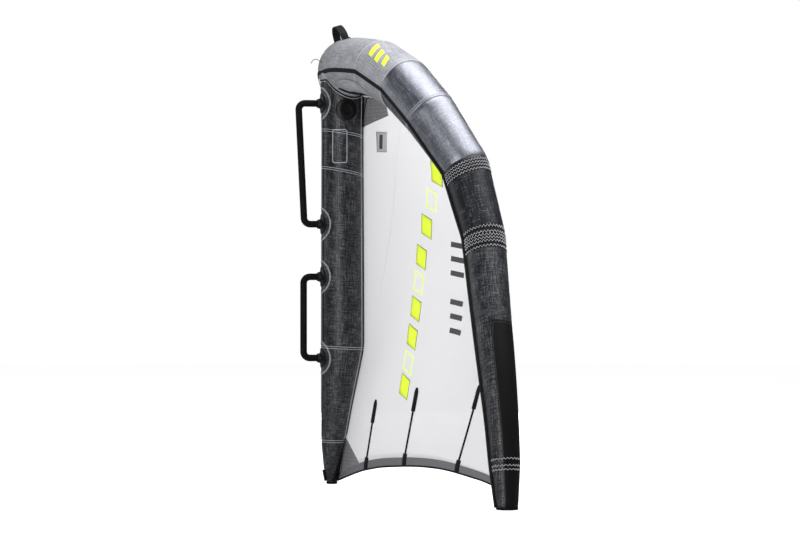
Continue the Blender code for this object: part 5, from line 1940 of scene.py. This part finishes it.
class FOILWING_OT_stitches(bpy.types.Operator):
    """Sews the rows of thread"""
    bl_idname = "foilwing.stitches"
    bl_label = "Stitches"

    def execute(self, context):
        make_stitches()
        return {"FINISHED"}


class FOILWING_OT_stage(bpy.types.Operator):
    """Makes the floor, lamps, world and camera"""
    bl_idname = "foilwing.stage"
    bl_label = "Stage"

    def execute(self, context):
        make_stage()
        return {"FINISHED"}


OPERATORS = (
    FOILWING_OT_finishes, FOILWING_OT_casing, FOILWING_OT_bladders, FOILWING_OT_welts,
    FOILWING_OT_tips, FOILWING_OT_strut, FOILWING_OT_canopy, FOILWING_OT_prints,
    FOILWING_OT_trim, FOILWING_OT_battens, FOILWING_OT_handles, FOILWING_OT_valve,
    FOILWING_OT_webbing, FOILWING_OT_line, FOILWING_OT_inner, FOILWING_OT_stitches,
    FOILWING_OT_stage,
)


class FOILWING_PT_sidebar(bpy.types.Panel):
    """Lists the wing's pieces in the 3D view's sidebar"""
    bl_label = "Foil Wing"
    bl_idname = "FOILWING_PT_sidebar"
    bl_space_type = "VIEW_3D"
    bl_region_type = "UI"
    bl_category = "Foil Wing"

    def draw(self, context):
        for operator in OPERATORS:
            self.layout.operator(operator.bl_idname)


CLASSES = (WingSizes, WingColours, *OPERATORS, FOILWING_PT_sidebar)


def register():
    for item in CLASSES:
        bpy.utils.register_class(item)
    bpy.types.Scene.wing_sizes = PointerProperty(type=WingSizes)
    bpy.types.Scene.wing_colours = PointerProperty(type=WingColours)


def unregister():
    del bpy.types.Scene.wing_colours
    del bpy.types.Scene.wing_sizes
    for item in reversed(CLASSES):
        bpy.utils.unregister_class(item)


def main():
    """Make every piece in order."""
    register()
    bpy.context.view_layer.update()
    start_forms()
    bpy.ops.foilwing.finishes()
    bpy.ops.foilwing.casing()
    bpy.ops.foilwing.bladders()
    bpy.ops.foilwing.welts()
    bpy.ops.foilwing.tips()
    bpy.ops.foilwing.strut()
    bpy.ops.foilwing.canopy()
    bpy.ops.foilwing.prints()
    bpy.ops.foilwing.trim()
    bpy.ops.foilwing.battens()
    bpy.ops.foilwing.handles()
    bpy.ops.foilwing.valve()
    bpy.ops.foilwing.webbing()
    bpy.ops.foilwing.line()
    bpy.ops.foilwing.inner()
    bpy.ops.foilwing.stitches()
    bpy.ops.foilwing.stage()


if __name__ == "__main__":
    main()
